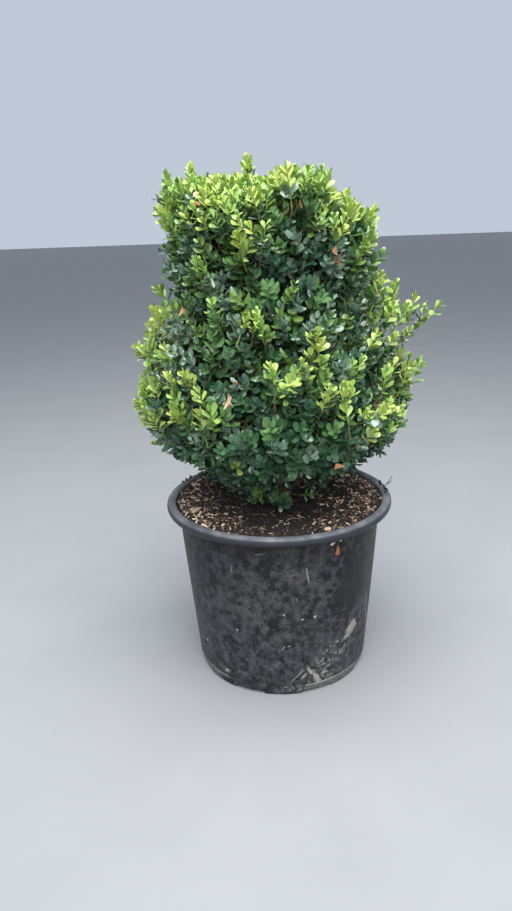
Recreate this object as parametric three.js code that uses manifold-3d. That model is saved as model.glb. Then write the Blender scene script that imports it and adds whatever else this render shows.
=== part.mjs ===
// A box shrub, clipped to a blunt ball and grown out a little, in its round black nursery pot.
// Millimetres, +Z up. The origin is the middle of the pot's flat underside, and -Y is the front.
import * as THREE from "three";
import { mergeVertices } from "three/addons/utils/BufferGeometryUtils.js";
import Module from "manifold-3d";

const wasm = await Module();
wasm.setup();

// Driving dimensions of the pot
const rimDiameter = 400;
const potHeight = 316;
const wallThickness = 3;
const rollRadius = 9; // the rolled lip's own radius
const wallTopRadius = 179;
const wallFootRadius = 156;
const footHeight = 16;
const footInset = 3;
const drainNotches = 8;
const drainNotchWidth = 54;
const drainNotchHeight = 7;
const drainNotchDepth = 6;
const compostLevel = 303; // level of the compost round the trunk
const compostCrest = 310; // its highest ring, heaped up near the rim

// Driving dimensions of the plant
const crownFoot = 318; // underside of the foliage beside the trunk
const underCorner = 1.2; // how round the underside is: 1 is a cone, and 2 is a ball
const topCorner = 3.2; // the same for the clipped top
const bellyHeight = 450;
const bellyRadius = 226;
const shoulderHeight = 735;
const shoulderRadius = 168;
const crownTop = 838; // the clipped top, which the new shoots stand above
const topFall = 26; // the clipped top falls this much from the axis to the shoulder at +X
const trunkTop = 366;
const trunkRadius = 17;
const flareRadius = 10; // what the root flare adds to the trunk's radius at its foot

// Driving dimensions of the foliage
const spaceMargin = 0.8; // half the gap between two masses
const coreDepth = 44; // how deep the dense cores lie under the clipped outline
const twigCount = 73; // twigs spread over the clipped outline, besides the long shoots
const twigReach = [2, 22]; // how far a twig's last leaf stands past the outline
const twigThick = [2.6, 1.7];
const leafLength = 58;
const leafWidth = 39;
const leafThickness = 3.2;
const leafSpread = 1.0; // angle of a leaf from its twig, in radians
const pairSpacing = 22;
const tipLeafScale = 0.62; // the young leaf at a twig's end
const leafRoom = 21; // least distance between the middles of two twigs' leaves
const smallerShares = [1, 0.8, 0.62]; // sizes that are tried where a leaf has little room

const clearance = 0.3; // gap between pieces that meet
const seamTolerance = 0.05; // slivers along the seams of a fused mass are tidied up to this
const potSides = 48;
const limbSides = 8;
const coreSides = 24;
const coreRings = 8;
const plantSeed = 20240519;

const up = new THREE.Vector3(0, 0, 1);
const turn = 2 * Math.PI;
const goldenAngle = Math.PI * (3 - Math.sqrt(5));

// A repeatable stream of numbers from 0 to 1.
function seededRandom(seed) {
  let state = seed;
  return () => {
    state = (state + 0x6d2b79f5) | 0;
    let mixed = Math.imul(state ^ (state >>> 15), 1 | state);
    mixed = (mixed + Math.imul(mixed ^ (mixed >>> 7), 61 | mixed)) ^ mixed;
    return ((mixed ^ (mixed >>> 14)) >>> 0) / 4294967296;
  };
}

function polar(radius, azimuth, height) {
  return new THREE.Vector3(
    radius * Math.cos(azimuth),
    radius * Math.sin(azimuth),
    height,
  );
}

// Solids and meshes

function solidOf(geometry) {
  const bare = geometry.clone();
  bare.deleteAttribute("normal");
  bare.deleteAttribute("uv");
  const merged = mergeVertices(bare, 1e-4);
  return new wasm.Manifold(
    new wasm.Mesh({
      numProp: 3,
      vertProperties: new Float32Array(merged.attributes.position.array),
      triVerts: new Uint32Array(merged.index.array),
    }),
  );
}

function geometryOf(solid) {
  const mesh = solid.getMesh();
  const geometry = new THREE.BufferGeometry();
  const positions = new Float32Array(mesh.vertProperties);
  geometry.setAttribute("position", new THREE.BufferAttribute(positions, 3));
  geometry.setIndex(new THREE.BufferAttribute(new Uint32Array(mesh.triVerts), 1));
  geometry.computeVertexNormals();
  return geometry;
}

// The largest piece of a fused solid. Loose scraps are dropped.
function mainPieceOf(solid) {
  const pieces = solid.decompose();
  return pieces.reduce((a, b) => (b.volume() > a.volume() ? b : a));
}

function latheOf(profile, sides) {
  const points = profile.map(([radius, height]) => new THREE.Vector2(radius, height));
  return new THREE.LatheGeometry(points, sides).rotateX(Math.PI / 2);
}

// A closed limb of round section along a curve, with its radius given by a function from 0 to 1.
// Where it is grown, it is that much thicker all round and that much longer at both ends.
function limbOf(curve, radiusAt, sides, steps, grown = 0) {
  const frames = curve.computeFrenetFrames(steps, false);
  const positions = [];
  const faces = [];
  for (let step = 0; step <= steps; step += 1) {
    const centre = curve.getPointAt(step / steps);
    const lengthened = step === 0 ? -grown : step === steps ? grown : 0;
    centre.addScaledVector(frames.tangents[step], lengthened);
    for (let side = 0; side < sides; side += 1) {
      const angle = (side / sides) * turn;
      const radius = radiusAt(step / steps, angle) + grown;
      const point = centre
        .clone()
        .addScaledVector(frames.normals[step], radius * Math.cos(angle))
        .addScaledVector(frames.binormals[step], radius * Math.sin(angle));
      positions.push(point.x, point.y, point.z);
    }
  }
  for (let step = 0; step < steps; step += 1) {
    for (let side = 0; side < sides; side += 1) {
      const next = (side + 1) % sides;
      const a = step * sides + side;
      const b = step * sides + next;
      faces.push(a, b, b + sides, a, b + sides, a + sides);
    }
  }
  const last = steps * sides;
  for (let side = 1; side < sides - 1; side += 1) {
    faces.push(0, side + 1, side, last, last + side, last + side + 1);
  }
  const geometry = new THREE.BufferGeometry();
  geometry.setAttribute("position", new THREE.Float32BufferAttribute(positions, 3));
  geometry.setIndex(faces);
  return geometry;
}

function taper([foot, tip]) {
  return (along) => foot + (tip - foot) * along;
}

// The pot and its compost

// Points round the rolled lip, from its outer underside over the top to the inside.
function lipSection() {
  const middle = rimDiameter / 2 - rollRadius;
  const height = potHeight - rollRadius;
  const points = [];
  for (let degrees = -70; degrees <= 170; degrees += 40) {
    const angle = (degrees / 180) * Math.PI;
    points.push([
      middle + rollRadius * Math.cos(angle),
      height + rollRadius * Math.sin(angle),
    ]);
  }
  return points;
}

// Drain notches round the foot, open to the outside and reaching in through the wall.
function notchSolid() {
  const outer = wallFootRadius - footInset;
  const notches = [];
  for (let index = 0; index < drainNotches; index += 1) {
    const azimuth = ((index + 0.5) / drainNotches) * turn;
    const notch = new THREE.BoxGeometry(
      2 * drainNotchDepth,
      drainNotchWidth,
      2 * drainNotchHeight,
    );
    notch.translate(outer, 0, 0);
    notches.push(solidOf(notch.rotateZ(azimuth)));
  }
  const kept = [
    [0, -drainNotchHeight - 1],
    [outer - drainNotchDepth, -drainNotchHeight - 1],
    [outer - drainNotchDepth, drainNotchHeight + 1],
    [0, drainNotchHeight + 1],
  ];
  return wasm.Manifold.union(notches).subtract(solidOf(latheOf(kept, potSides)));
}

function potSolid() {
  const underLip = potHeight - 2 * rollRadius;
  const profile = [
    [0, 0],
    [wallFootRadius - footInset, 0],
    [wallFootRadius - footInset, footHeight - footInset],
    [wallFootRadius, footHeight],
    [wallTopRadius, underLip - 2],
    ...lipSection(),
    [wallTopRadius - wallThickness, underLip],
    [wallFootRadius - footInset - wallThickness, wallThickness],
    [0, wallThickness],
  ];
  return solidOf(latheOf(profile, potSides)).subtract(notchSolid());
}

// The pot's inner radius at a height.
function potInside(height) {
  const share = (height - wallThickness) / (potHeight - 2 * rollRadius - wallThickness);
  const foot = wallFootRadius - footInset - wallThickness;
  return foot + (wallTopRadius - wallThickness - foot) * Math.min(share, 1);
}

// The compost fills the pot up to its lip, and falls from the rim to the trunk.
function compostSolid() {
  const floor = wallThickness + clearance;
  const underLip = potHeight - 2 * rollRadius;
  const [lipInside, edge] = lipSection().at(-1);
  const profile = [
    [0, floor],
    [potInside(floor) - clearance, floor],
    [potInside(underLip) - clearance, underLip],
    [lipInside - clearance, edge],
    [potInside(underLip) - 18, compostCrest],
    [potInside(underLip) - 60, compostCrest - 1],
    [80, compostLevel + 2],
    [trunkRadius + 2.5 * flareRadius, compostLevel],
    [0, compostLevel],
  ];
  return solidOf(latheOf(profile, potSides));
}

// The outline of the clipped crown

// One quarter of a rounded square: 1 at its foot and 0 at its end, and squarer as "corner" grows.
function roundedEnd(share, corner) {
  return (1 - share ** corner) ** (1 / corner);
}

// The crown is a round form, given by its radius at each level.
function crownRadius(level) {
  if (level <= crownFoot || level >= crownTop) {
    return 0;
  }
  if (level < bellyHeight) {
    const drop = (bellyHeight - level) / (bellyHeight - crownFoot);
    return bellyRadius * roundedEnd(drop, underCorner);
  }
  if (level < shoulderHeight) {
    const rise = (level - bellyHeight) / (shoulderHeight - bellyHeight);
    const ease = (1 - Math.cos(Math.PI * rise)) / 2;
    return bellyRadius + (shoulderRadius - bellyRadius) * ease;
  }
  const rise = (level - shoulderHeight) / (crownTop - shoulderHeight);
  return shoulderRadius * roundedEnd(rise, topCorner);
}

// Its top is tilted, so above the belly a level lies lower on the +X side and higher on the -X side.
function tiltAt(x, level) {
  const rise = (level - bellyHeight) / (crownTop - bellyHeight);
  return topFall * (x / shoulderRadius) * Math.min(Math.max(rise, 0), 1);
}

function crownPoint(level, azimuth) {
  const point = polar(crownRadius(level), azimuth, level);
  point.z -= tiltAt(point.x, level);
  return point;
}

// The direction square to the outline.
function outwardAt(level, azimuth) {
  const step = 2;
  const slope = (crownRadius(level + step) - crownRadius(level - step)) / (2 * step);
  return polar(1, azimuth, -slope).normalize();
}

// Points spread evenly over the outline, by area, on a golden-angle spiral.
function outlinePoints(count) {
  const bands = [];
  let area = 0;
  for (let level = crownFoot; level < crownTop; level += 1) {
    const lower = crownRadius(level);
    const upper = crownRadius(level + 1);
    area += turn * ((lower + upper) / 2) * Math.hypot(upper - lower, 1);
    bands.push({ level: level + 0.5, area });
  }
  const points = [];
  for (let index = 0; index < count; index += 1) {
    const wanted = ((index + 0.5) / count) * area;
    const { level } = bands.find((band) => band.area >= wanted);
    points.push({ level, azimuth: index * goldenAngle });
  }
  return points;
}

// The trunk and its boughs

// The trunk is upright at both ends, so that its two cuts are level.
const trunkCurve = new THREE.CatmullRomCurve3([
  new THREE.Vector3(0, 0, compostLevel + clearance),
  new THREE.Vector3(0, 0, compostLevel + 16),
  new THREE.Vector3(2, -1.5, (compostLevel + trunkTop) / 2),
  new THREE.Vector3(0, 0, trunkTop - 12),
  new THREE.Vector3(0, 0, trunkTop),
]);

// Root flare at the foot, in five low ribs, then a slow taper to the fork.
function trunkRadiusAt(along, angle) {
  const flare = Math.exp(-along * 7);
  const ribs = 1 + 0.18 * flare * Math.cos(5 * angle);
  return (trunkRadius * (1 - 0.2 * along) + flareRadius * flare) * ribs;
}

function trunkSolid(grown = 0) {
  return solidOf(limbOf(trunkCurve, trunkRadiusAt, 15, 6, grown));
}

// Two rings of boughs round the trunk. "centre", "bend" and "tip" are each a distance from the axis
// and a height, and "thick" is the bough's radius at its foot and its tip.
const boughRings = [
  {
    name: "low",
    count: 5,
    first: -90,
    start: 318,
    bend: [34, 330],
    tip: [56, 372],
    centre: [130, 455],
    thick: [7, 5.2],
    steps: 4,
  },
  {
    name: "high",
    count: 4,
    first: -135,
    start: 330,
    bend: [40, 360],
    tip: [42, 572],
    centre: [105, 670],
    thick: [7.5, 4.6],
    steps: 7,
  },
];
const leader = { centre: 770, tip: 664, thick: [9, 4.6], steps: 10 };

// A bough leaves the trunk's axis, turns up and ends where its mass of foliage begins.
function boughCurve({ start, bend, tip }, azimuth) {
  return new THREE.QuadraticBezierCurve3(
    polar(0, azimuth, start),
    polar(bend[0], azimuth, bend[1]),
    polar(tip[0], azimuth, tip[1]),
  );
}

function leaderCurve() {
  return new THREE.CatmullRomCurve3([
    new THREE.Vector3(0, 0, trunkTop + clearance),
    new THREE.Vector3(0, 0, trunkTop + 16),
    new THREE.Vector3(3, 2, trunkTop + 90),
    new THREE.Vector3(-3, -2, leader.tip - 90),
    new THREE.Vector3(0, 0, leader.tip),
  ]);
}

// Every bough, with the middle of the mass of foliage that it carries.
function boughPlan() {
  const plan = [];
  for (const ring of boughRings) {
    for (let index = 0; index < ring.count; index += 1) {
      const azimuth = ((ring.first + (index * 360) / ring.count) / 180) * Math.PI;
      plan.push({
        name: `${ring.name}_${index + 1}`,
        centre: polar(ring.centre[0], azimuth, ring.centre[1]),
        curve: boughCurve(ring, azimuth),
        thick: ring.thick,
        steps: ring.steps,
      });
    }
  }
  plan.push({
    name: "top",
    centre: new THREE.Vector3(0, 0, leader.centre),
    curve: leaderCurve(),
    thick: leader.thick,
    steps: leader.steps,
  });
  return plan;
}

const boughs = boughPlan();

function limbSolid({ curve, thick, steps }, grown = 0) {
  return solidOf(limbOf(curve, taper(thick), limbSides, steps, grown));
}

// The trunk's and the boughs' own room, which nothing else enters.
const trunkRoom = trunkSolid(clearance);
const limbRoom = wasm.Manifold.union([
  trunkRoom,
  ...boughs.map((bough) => limbSolid(bough, clearance)),
]);

// A side bough stops just clear of the trunk, and the leader stands on the trunk's top.
function boughSolid(bough) {
  return mainPieceOf(limbSolid(bough).subtract(trunkRoom));
}

// The space that belongs to each mass of foliage

const wellRadius = 50; // the boughs climb in a clear well round the axis
const wellTop = leader.tip + 12;

// How far a point lies inside the part of the crown that is nearer to one mass than to the others.
function roomInCell(point, mass) {
  let room = Infinity;
  for (const other of boughs) {
    if (other === mass) {
      continue;
    }
    const apart = other.centre.distanceTo(mass.centre);
    const share =
      point.distanceToSquared(other.centre) - point.distanceToSquared(mass.centre);
    room = Math.min(room, share / (2 * apart));
  }
  return room;
}

function roomFromWell(point) {
  const out = Math.hypot(point.x, point.y);
  const taperedRadius = wellRadius * Math.min(1, (wellTop - point.z) / 60 + 0.4);
  return point.z < wellTop ? out - taperedRadius : Math.hypot(out, point.z - wellTop);
}

function roomFromPot(point) {
  const out = Math.hypot(point.x, point.y);
  return out > wallTopRadius - 20 ? point.z - potHeight - 3 : point.z - compostCrest - 2;
}

function inSpace(point, mass) {
  return (
    roomInCell(point, mass) > spaceMargin &&
    roomFromWell(point) > spaceMargin &&
    roomFromPot(point) > 0
  );
}

// The mass in whose part of the crown a point lies.
function massAt(point) {
  return boughs.reduce((a, b) =>
    point.distanceToSquared(b.centre) < point.distanceToSquared(a.centre) ? b : a,
  );
}

// Foliage

// Where the long shoots that break the outline end.
const longShoots = [
  [276, -50, 646],
  [212, 56, 682],
  [249, -20, 556],
  [238, 30, 388],
  [-252, -10, 500],
  [-246, 50, 586],
  [-230, 10, 412],
  [-198, -52, 660],
  [-40, -30, 880],
  [-124, 0, 875],
  [-160, -46, 862],
  [-186, 48, 806],
  [25, -60, 865],
  [80, 30, 852],
  [118, -36, 826],
  [164, -34, 802],
  [-60, 100, 866],
  [20, -252, 580],
  [-90, -232, 470],
  [60, 250, 620],
  [-110, 226, 500],
  [-30, -80, 322],
  [42, -76, 326],
];

// The dense inside of the crown: its outline drawn in by the core's depth, a little lumpy, with the
// boughs' well bored out of it.
function denseBody() {
  const foot = crownFoot + coreDepth / 2;
  const top = crownTop - coreDepth;
  const profile = [[0, foot]];
  for (let ring = 1; ring <= coreRings; ring += 1) {
    const share = (1 - Math.cos((ring / (coreRings + 1)) * Math.PI)) / 2;
    const level = foot + share * (top - foot);
    profile.push([crownRadius(level) - coreDepth, level]);
  }
  profile.push([0, top]);
  const body = latheOf(profile, coreSides);
  const position = body.attributes.position;
  for (let index = 0; index < position.count; index += 1) {
    const point = new THREE.Vector3().fromBufferAttribute(position, index);
    const azimuth = Math.atan2(point.y, point.x);
    const lump = 1 + 0.05 * Math.sin(7 * azimuth + point.z / 23) * Math.sin(point.z / 17);
    const fall = tiltAt(point.x, point.z);
    position.setXYZ(index, point.x * lump, point.y * lump, point.z - fall);
  }
  const well = [
    [0, compostLevel],
    [wellRadius + spaceMargin, compostLevel],
    [wellRadius + spaceMargin, wellTop - 40],
    [wellRadius / 2, wellTop],
    [0, wellTop],
  ];
  return solidOf(body).subtract(solidOf(latheOf(well, coreSides))).subtract(limbRoom);
}

// The half of space nearer to one mass than to another, drawn back by the margin between them.
function nearSide(mass, other) {
  const size = 2000;
  const away = mass.centre.clone().sub(other.centre).normalize();
  const middle = mass.centre.clone().add(other.centre).multiplyScalar(0.5);
  const half = new THREE.BoxGeometry(size, size, size);
  half.translate(0, 0, size / 2 + spaceMargin);
  half.applyQuaternion(new THREE.Quaternion().setFromUnitVectors(up, away));
  half.translate(middle.x, middle.y, middle.z);
  return solidOf(half);
}

function coreSolid(mass, body) {
  const others = boughs.filter((other) => other !== mass);
  return others.reduce((core, other) => core.intersect(nearSide(mass, other)), body);
}

// The stem goes on from the bough's tip, just clear of it, into the middle of the core.
function stemSolid(mass) {
  const tip = mass.curve.getPointAt(1);
  const heading = mass.curve.getTangentAt(1);
  const foot = tip.clone().addScaledVector(heading, clearance + 0.05);
  const knee = foot.clone().addScaledVector(heading, 12);
  const curve = new THREE.CatmullRomCurve3([foot, knee, mass.centre.clone()]);
  const thickness = mass.thick[1];
  return solidOf(limbOf(curve, taper([thickness * 0.95, thickness * 0.6]), 6, 4));
}

// The corners of a leaf: stalk end, tip, both sides, and the middles of its face and its back.
function leafCorners(base, axis, facing, scale) {
  const across = new THREE.Vector3().crossVectors(facing, axis).normalize();
  const normal = new THREE.Vector3().crossVectors(axis, across).normalize();
  const middle = base.clone().addScaledVector(axis, leafLength * scale * 0.55);
  const half = (leafWidth * scale) / 2;
  return [
    base,
    base.clone().addScaledVector(axis, leafLength * scale),
    middle.clone().addScaledVector(across, half),
    middle.clone().addScaledVector(across, -half),
    middle.clone().addScaledVector(normal, leafThickness * 0.7),
    middle.clone().addScaledVector(normal, -leafThickness * 0.3),
  ];
}

// A pointed lens of eight faces over the corners of a leaf.
function leafSolid(corners) {
  const [base, tip, left, right, face, back] = corners.keys();
  const geometry = new THREE.BufferGeometry();
  const positions = corners.flatMap((corner) => corner.toArray());
  geometry.setAttribute("position", new THREE.Float32BufferAttribute(positions, 3));
  geometry.setIndex([
    ...[base, face, left],
    ...[left, face, tip],
    ...[tip, face, right],
    ...[right, face, base],
    ...[left, back, base],
    ...[tip, back, left],
    ...[right, back, tip],
    ...[base, back, right],
  ]);
  return solidOf(geometry);
}

// The middles of the leaves placed so far. A leaf that would crowd another twig's leaf is skipped.
const leafMiddles = [];

function hasRoom(corners, mass) {
  const middle = corners[4];
  return (
    leafMiddles.every((other) => other.distanceTo(middle) >= leafRoom) &&
    corners.slice(1).every((corner) => inSpace(corner, mass))
  );
}

// A twig from inside the core to its tip, with opposite leaves in crossed pairs and one at the tip.
// A twig or leaf that would leave its mass's space or touch a limb is skipped.
function twigSolids(mass, root, tip, spin, scale, pairs) {
  while (!inSpace(root, mass) && root.distanceTo(mass.centre) > 1) {
    root.lerp(mass.centre, 0.25);
  }
  const heading = tip.clone().sub(root).normalize();
  const twig = solidOf(limbOf(new THREE.LineCurve3(root, tip), taper(twigThick), 3, 1));
  if (!inSpace(tip, mass) || !twig.intersect(limbRoom).isEmpty()) {
    return [];
  }
  const level = new THREE.Vector3().crossVectors(heading, up).normalize();
  const leaves = [];
  const middles = [];
  const grow = (base, axis, facing, size) => {
    for (const share of smallerShares) {
      const corners = leafCorners(base, axis, facing, size * share);
      const leaf = hasRoom(corners, mass) && leafSolid(corners);
      if (leaf && leaf.intersect(limbRoom).isEmpty()) {
        leaves.push(leaf);
        middles.push(corners[4]);
        return;
      }
    }
  };
  for (let pair = 0; pair < pairs; pair += 1) {
    const base = tip.clone().addScaledVector(heading, -pairSpacing * scale * (pair + 0.35));
    for (const opposite of [0, Math.PI]) {
      const around = level.clone().applyAxisAngle(heading, spin + opposite + pair * (turn / 4));
      const axis = heading
        .clone()
        .multiplyScalar(Math.cos(leafSpread))
        .addScaledVector(around, Math.sin(leafSpread));
      grow(base, axis, heading, scale * (0.9 + 0.1 * pair));
    }
  }
  const last = tip.clone().addScaledVector(heading, -twigThick[1]);
  grow(last, heading, level.clone().applyAxisAngle(heading, spin), scale * tipLeafScale);
  leafMiddles.push(...middles);
  return [twig, ...leaves];
}

// Every twig of the crown, sorted by the mass that it grows from.
function growTwigs() {
  const random = seededRandom(plantSeed);
  const grown = new Map(boughs.map((mass) => [mass, []]));
  for (const { level, azimuth } of outlinePoints(twigCount)) {
    const lift = level > bellyHeight ? 0.55 : 0.15;
    const heading = outwardAt(level, azimuth).addScaledVector(up, lift).normalize();
    const reach = twigReach[0] + (twigReach[1] - twigReach[0]) * random() ** 2;
    const end = crownPoint(level, azimuth).addScaledVector(heading, reach);
    const tip = end.clone().addScaledVector(heading, -leafLength * tipLeafScale);
    const mass = massAt(tip);
    const root = tip.clone().addScaledVector(heading, -coreDepth - reach).lerp(mass.centre, 0.35);
    const scale = 0.9 + 0.2 * random();
    grown.get(mass).push(...twigSolids(mass, root, tip, random() * turn, scale, 2));
  }
  const shootScale = 0.8;
  const shootRoot = 0.88; // the share of the way back to its mass's middle where a long shoot starts
  for (const place of longShoots) {
    const end = new THREE.Vector3(...place);
    const mass = massAt(end);
    const heading = end.clone().sub(mass.centre).normalize();
    const tip = end.clone().addScaledVector(heading, -leafLength * tipLeafScale * shootScale);
    const root = tip.clone().lerp(mass.centre, shootRoot);
    grown.get(mass).push(...twigSolids(mass, root, tip, random() * turn, shootScale, 3));
  }
  return grown;
}

// The whole object

const finish = {
  pot: new THREE.MeshStandardMaterial({ color: 0x26272a, roughness: 0.62, metalness: 0 }),
  compost: new THREE.MeshStandardMaterial({ color: 0x2b1d15, roughness: 0.95, metalness: 0 }),
  bark: new THREE.MeshStandardMaterial({ color: 0x7a6a4e, roughness: 0.9, metalness: 0 }),
  leaves: new THREE.MeshStandardMaterial({ color: 0x2f5a2b, roughness: 0.45, metalness: 0 }),
  freshLeaves: new THREE.MeshStandardMaterial({ color: 0x8fb83a, roughness: 0.5, metalness: 0 }),
};

function meshOf(name, solid, material) {
  const mesh = new THREE.Mesh(geometryOf(solid), material);
  mesh.name = name;
  return mesh;
}

function build() {
  const group = new THREE.Group();
  group.name = "box_shrub_in_pot";
  group.add(meshOf("pot", potSolid(), finish.pot));
  group.add(meshOf("compost", compostSolid(), finish.compost));
  group.add(meshOf("trunk", trunkSolid(), finish.bark));
  for (const bough of boughs) {
    group.add(meshOf(`bough_${bough.name}`, boughSolid(bough), finish.bark));
  }
  const body = denseBody();
  const twigs = growTwigs();
  for (const mass of boughs) {
    const parts = [coreSolid(mass, body), stemSolid(mass), ...twigs.get(mass)];
    const fused = mainPieceOf(wasm.Manifold.union(parts)).simplify(seamTolerance);
    const leaves = mass.name === "top" ? finish.freshLeaves : finish.leaves;
    group.add(meshOf(`foliage_${mass.name}`, fused, leaves));
  }
  return group;
}

export default build();
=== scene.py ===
# The finished surfaces of a potted box shrub: a clipped round crown that new growth stands out of,
# in a black nursery pot. Sizes are in millimetres until a piece is made. -Y is the front.
import math

import bpy
import numpy as np
from mathutils import Matrix, Vector, noise


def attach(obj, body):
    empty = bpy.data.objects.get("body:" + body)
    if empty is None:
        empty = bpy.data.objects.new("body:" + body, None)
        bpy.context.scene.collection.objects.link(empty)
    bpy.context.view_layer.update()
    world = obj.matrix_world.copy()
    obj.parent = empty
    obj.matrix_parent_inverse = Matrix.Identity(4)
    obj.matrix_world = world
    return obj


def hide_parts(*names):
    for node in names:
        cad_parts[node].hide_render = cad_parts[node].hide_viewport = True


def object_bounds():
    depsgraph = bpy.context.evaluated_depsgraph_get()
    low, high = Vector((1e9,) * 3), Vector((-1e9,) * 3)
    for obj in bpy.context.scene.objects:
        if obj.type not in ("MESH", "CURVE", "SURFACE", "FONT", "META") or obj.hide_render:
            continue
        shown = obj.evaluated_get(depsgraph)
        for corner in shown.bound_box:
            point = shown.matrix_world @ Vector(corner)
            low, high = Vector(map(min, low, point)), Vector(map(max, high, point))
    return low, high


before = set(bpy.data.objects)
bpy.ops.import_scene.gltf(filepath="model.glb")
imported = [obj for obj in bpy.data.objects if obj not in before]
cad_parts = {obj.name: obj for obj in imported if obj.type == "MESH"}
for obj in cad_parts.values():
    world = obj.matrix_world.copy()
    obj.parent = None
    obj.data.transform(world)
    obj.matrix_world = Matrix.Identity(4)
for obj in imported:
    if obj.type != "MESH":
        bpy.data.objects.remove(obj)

solid_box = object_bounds()
metre = 0.001
turn = 2 * math.pi
golden_angle = math.pi * (3 - math.sqrt(5))
up = np.array([0.0, 0.0, 1.0])

# The photograph's frame and the camera that fits the pot's rim and foot in it
photo_size = (512, 911)
focal_pixels = 700
camera_place = (0, -1177.9, 773.2)
camera_down = math.radians(18.13)
camera_left = math.radians(1.85)
camera_roll = math.radians(-2.05)

# The pot, as in its solid
rim_radius = 200
pot_height = 316
wall = 3
roll_radius = 9
wall_top_radius = 179
wall_foot_radius = 156
foot_height = 16
foot_inset = 3
drain_notches = 8
notch_width = 54
notch_height = 7
notch_depth = 6
compost_level = 303
compost_crest = 310

# The crown's clipped outline, as in its solids
crown_foot = 318
under_corner = 1.2
top_corner = 3.2
belly_height = 450
belly_radius = 226
shoulder_height = 735
shoulder_radius = 168
crown_top = 838
top_fall = 26
trunk_top = 366
trunk_radius = 17
flare_radius = 10

# The boughs, as in their solids
bough_rings = [
    dict(name="low", count=5, first=-90, start=318, bend=(34, 330), tip=(56, 372),
         centre=(130, 455), thick=(7, 5.2)),
    dict(name="high", count=4, first=-135, start=330, bend=(40, 360), tip=(42, 572),
         centre=(105, 670), thick=(7.5, 4.6)),
]
leader_points = [(0, 0, 366), (0, 0, 382), (3, 2, 456), (-3, -2, 574), (0, 0, 664)]
leader_thick = (9, 4.6)
leader_centre = (0, 0, 770)
well_radius = 50
well_top = 676

plant_seed = 20240519


# Shader arithmetic

class Wire:
    """A socket of a finish. Arithmetic on it adds Math nodes."""

    def __init__(self, finish, socket):
        self.finish = finish
        self.socket = socket

    def math(self, operation, *values):
        inputs = dict(enumerate((self, *values)))
        return self.finish.add("ShaderNodeMath", {"operation": operation}, inputs)

    def __add__(self, other):
        return self.math("ADD", other)

    def __mul__(self, other):
        return self.math("MULTIPLY", other)

    def __sub__(self, other):
        return self.math("SUBTRACT", other)

    def __rsub__(self, other):
        return self * -1 + other

    def __truediv__(self, other):
        return self.math("DIVIDE", other)

    def __abs__(self):
        return self.math("ABSOLUTE")

    __radd__ = __add__
    __rmul__ = __mul__

    def rising(self, low, high):
        """0 below low, 1 above high, and a smooth rise between them. It falls where high is lower."""
        settings = {"interpolation_type": "SMOOTHSTEP"}
        return self.finish.add("ShaderNodeMapRange", settings, {0: self, 1: low, 2: high})

    def either(self, other):
        return self.math("MAXIMUM", other)


class Finish:
    """A procedural material, made of a Principled shader and what feeds it."""

    def __init__(self, name, **constants):
        self.material = bpy.data.materials.new(name)
        self.material.use_nodes = True
        self.tree = self.material.node_tree
        self.shader = self.tree.nodes["Principled BSDF"]
        place = Wire(self, self.tree.nodes.new("ShaderNodeTexCoord").outputs["Object"])
        self.place = self.add("ShaderNodeVectorMath", {"operation": "SCALE"}, {0: place, 3: 1 / metre})
        for socket, value in constants.items():
            self.shader.inputs[socket.replace("_", " ")].default_value = value

    def add(self, kind, settings, inputs, output=0):
        """A node with its settings made first, then the values or links of its sockets."""
        node = self.tree.nodes.new(kind)
        for name, value in settings.items():
            setattr(node, name, value)
        for socket, value in inputs.items():
            if isinstance(value, Wire):
                self.tree.links.new(value.socket, node.inputs[socket])
            else:
                node.inputs[socket].default_value = value
        return Wire(self, node.outputs[output])

    def coordinate(self, axis):
        return self.add("ShaderNodeSeparateXYZ", {}, {0: self.place}, axis)

    def noise(self, size, detail=3, stretch=(1, 1, 1), offset=0.0):
        """Soft noise whose lumps are about that many millimetres across."""
        place = self.add("ShaderNodeVectorMath", {"operation": "MULTIPLY"}, {0: self.place, 1: stretch})
        inputs = {"Vector": place, "W": offset, "Scale": 1 / size, "Detail": detail}
        return self.add("ShaderNodeTexNoise", {"noise_dimensions": "4D"}, inputs)

    def cells(self, size, output="Distance"):
        """Cells about that many millimetres across."""
        inputs = {"Vector": self.place, "Scale": 1 / size}
        return self.add("ShaderNodeTexVoronoi", {}, inputs, output)

    def blend(self, share, first, second):
        """The first colour where share is 0 and the second where it is 1."""
        first, second = ((*c, 1) if isinstance(c, tuple) else c for c in (first, second))
        return self.add("ShaderNodeMix", {"data_type": "RGBA"}, {0: share, 6: first, 7: second}, 2)

    def layers(self, colour, *layers):
        """A colour with others laid over it in turn, each as far as its share goes."""
        for share, over in layers:
            colour = self.blend(share, colour, over)
        return colour

    def relief(self, height, depth):
        """A normal from a height between 0 and 1, whose full depth is in millimetres."""
        inputs = {"Strength": 1, "Distance": depth * metre, "Height": height}
        return self.add("ShaderNodeBump", {}, inputs)

    def feed(self, **wires):
        """Links what changes over the surface to the shader's sockets."""
        for socket, wire in wires.items():
            self.tree.links.new(wire.socket, self.shader.inputs[socket.replace("_", " ")])
        return self.material


# Mesh making

def direction(vectors):
    return vectors / np.linalg.norm(vectors, axis=-1, keepdims=True)


def polar(radius, azimuth, height):
    parts = np.broadcast_arrays(radius * np.cos(azimuth), radius * np.sin(azimuth), height)
    return np.stack([np.asarray(part, float) for part in parts], axis=-1)


def placed(name, data):
    """A new object in the scene."""
    made = bpy.data.objects.new(name, data)
    bpy.context.scene.collection.objects.link(made)
    return made


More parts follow.
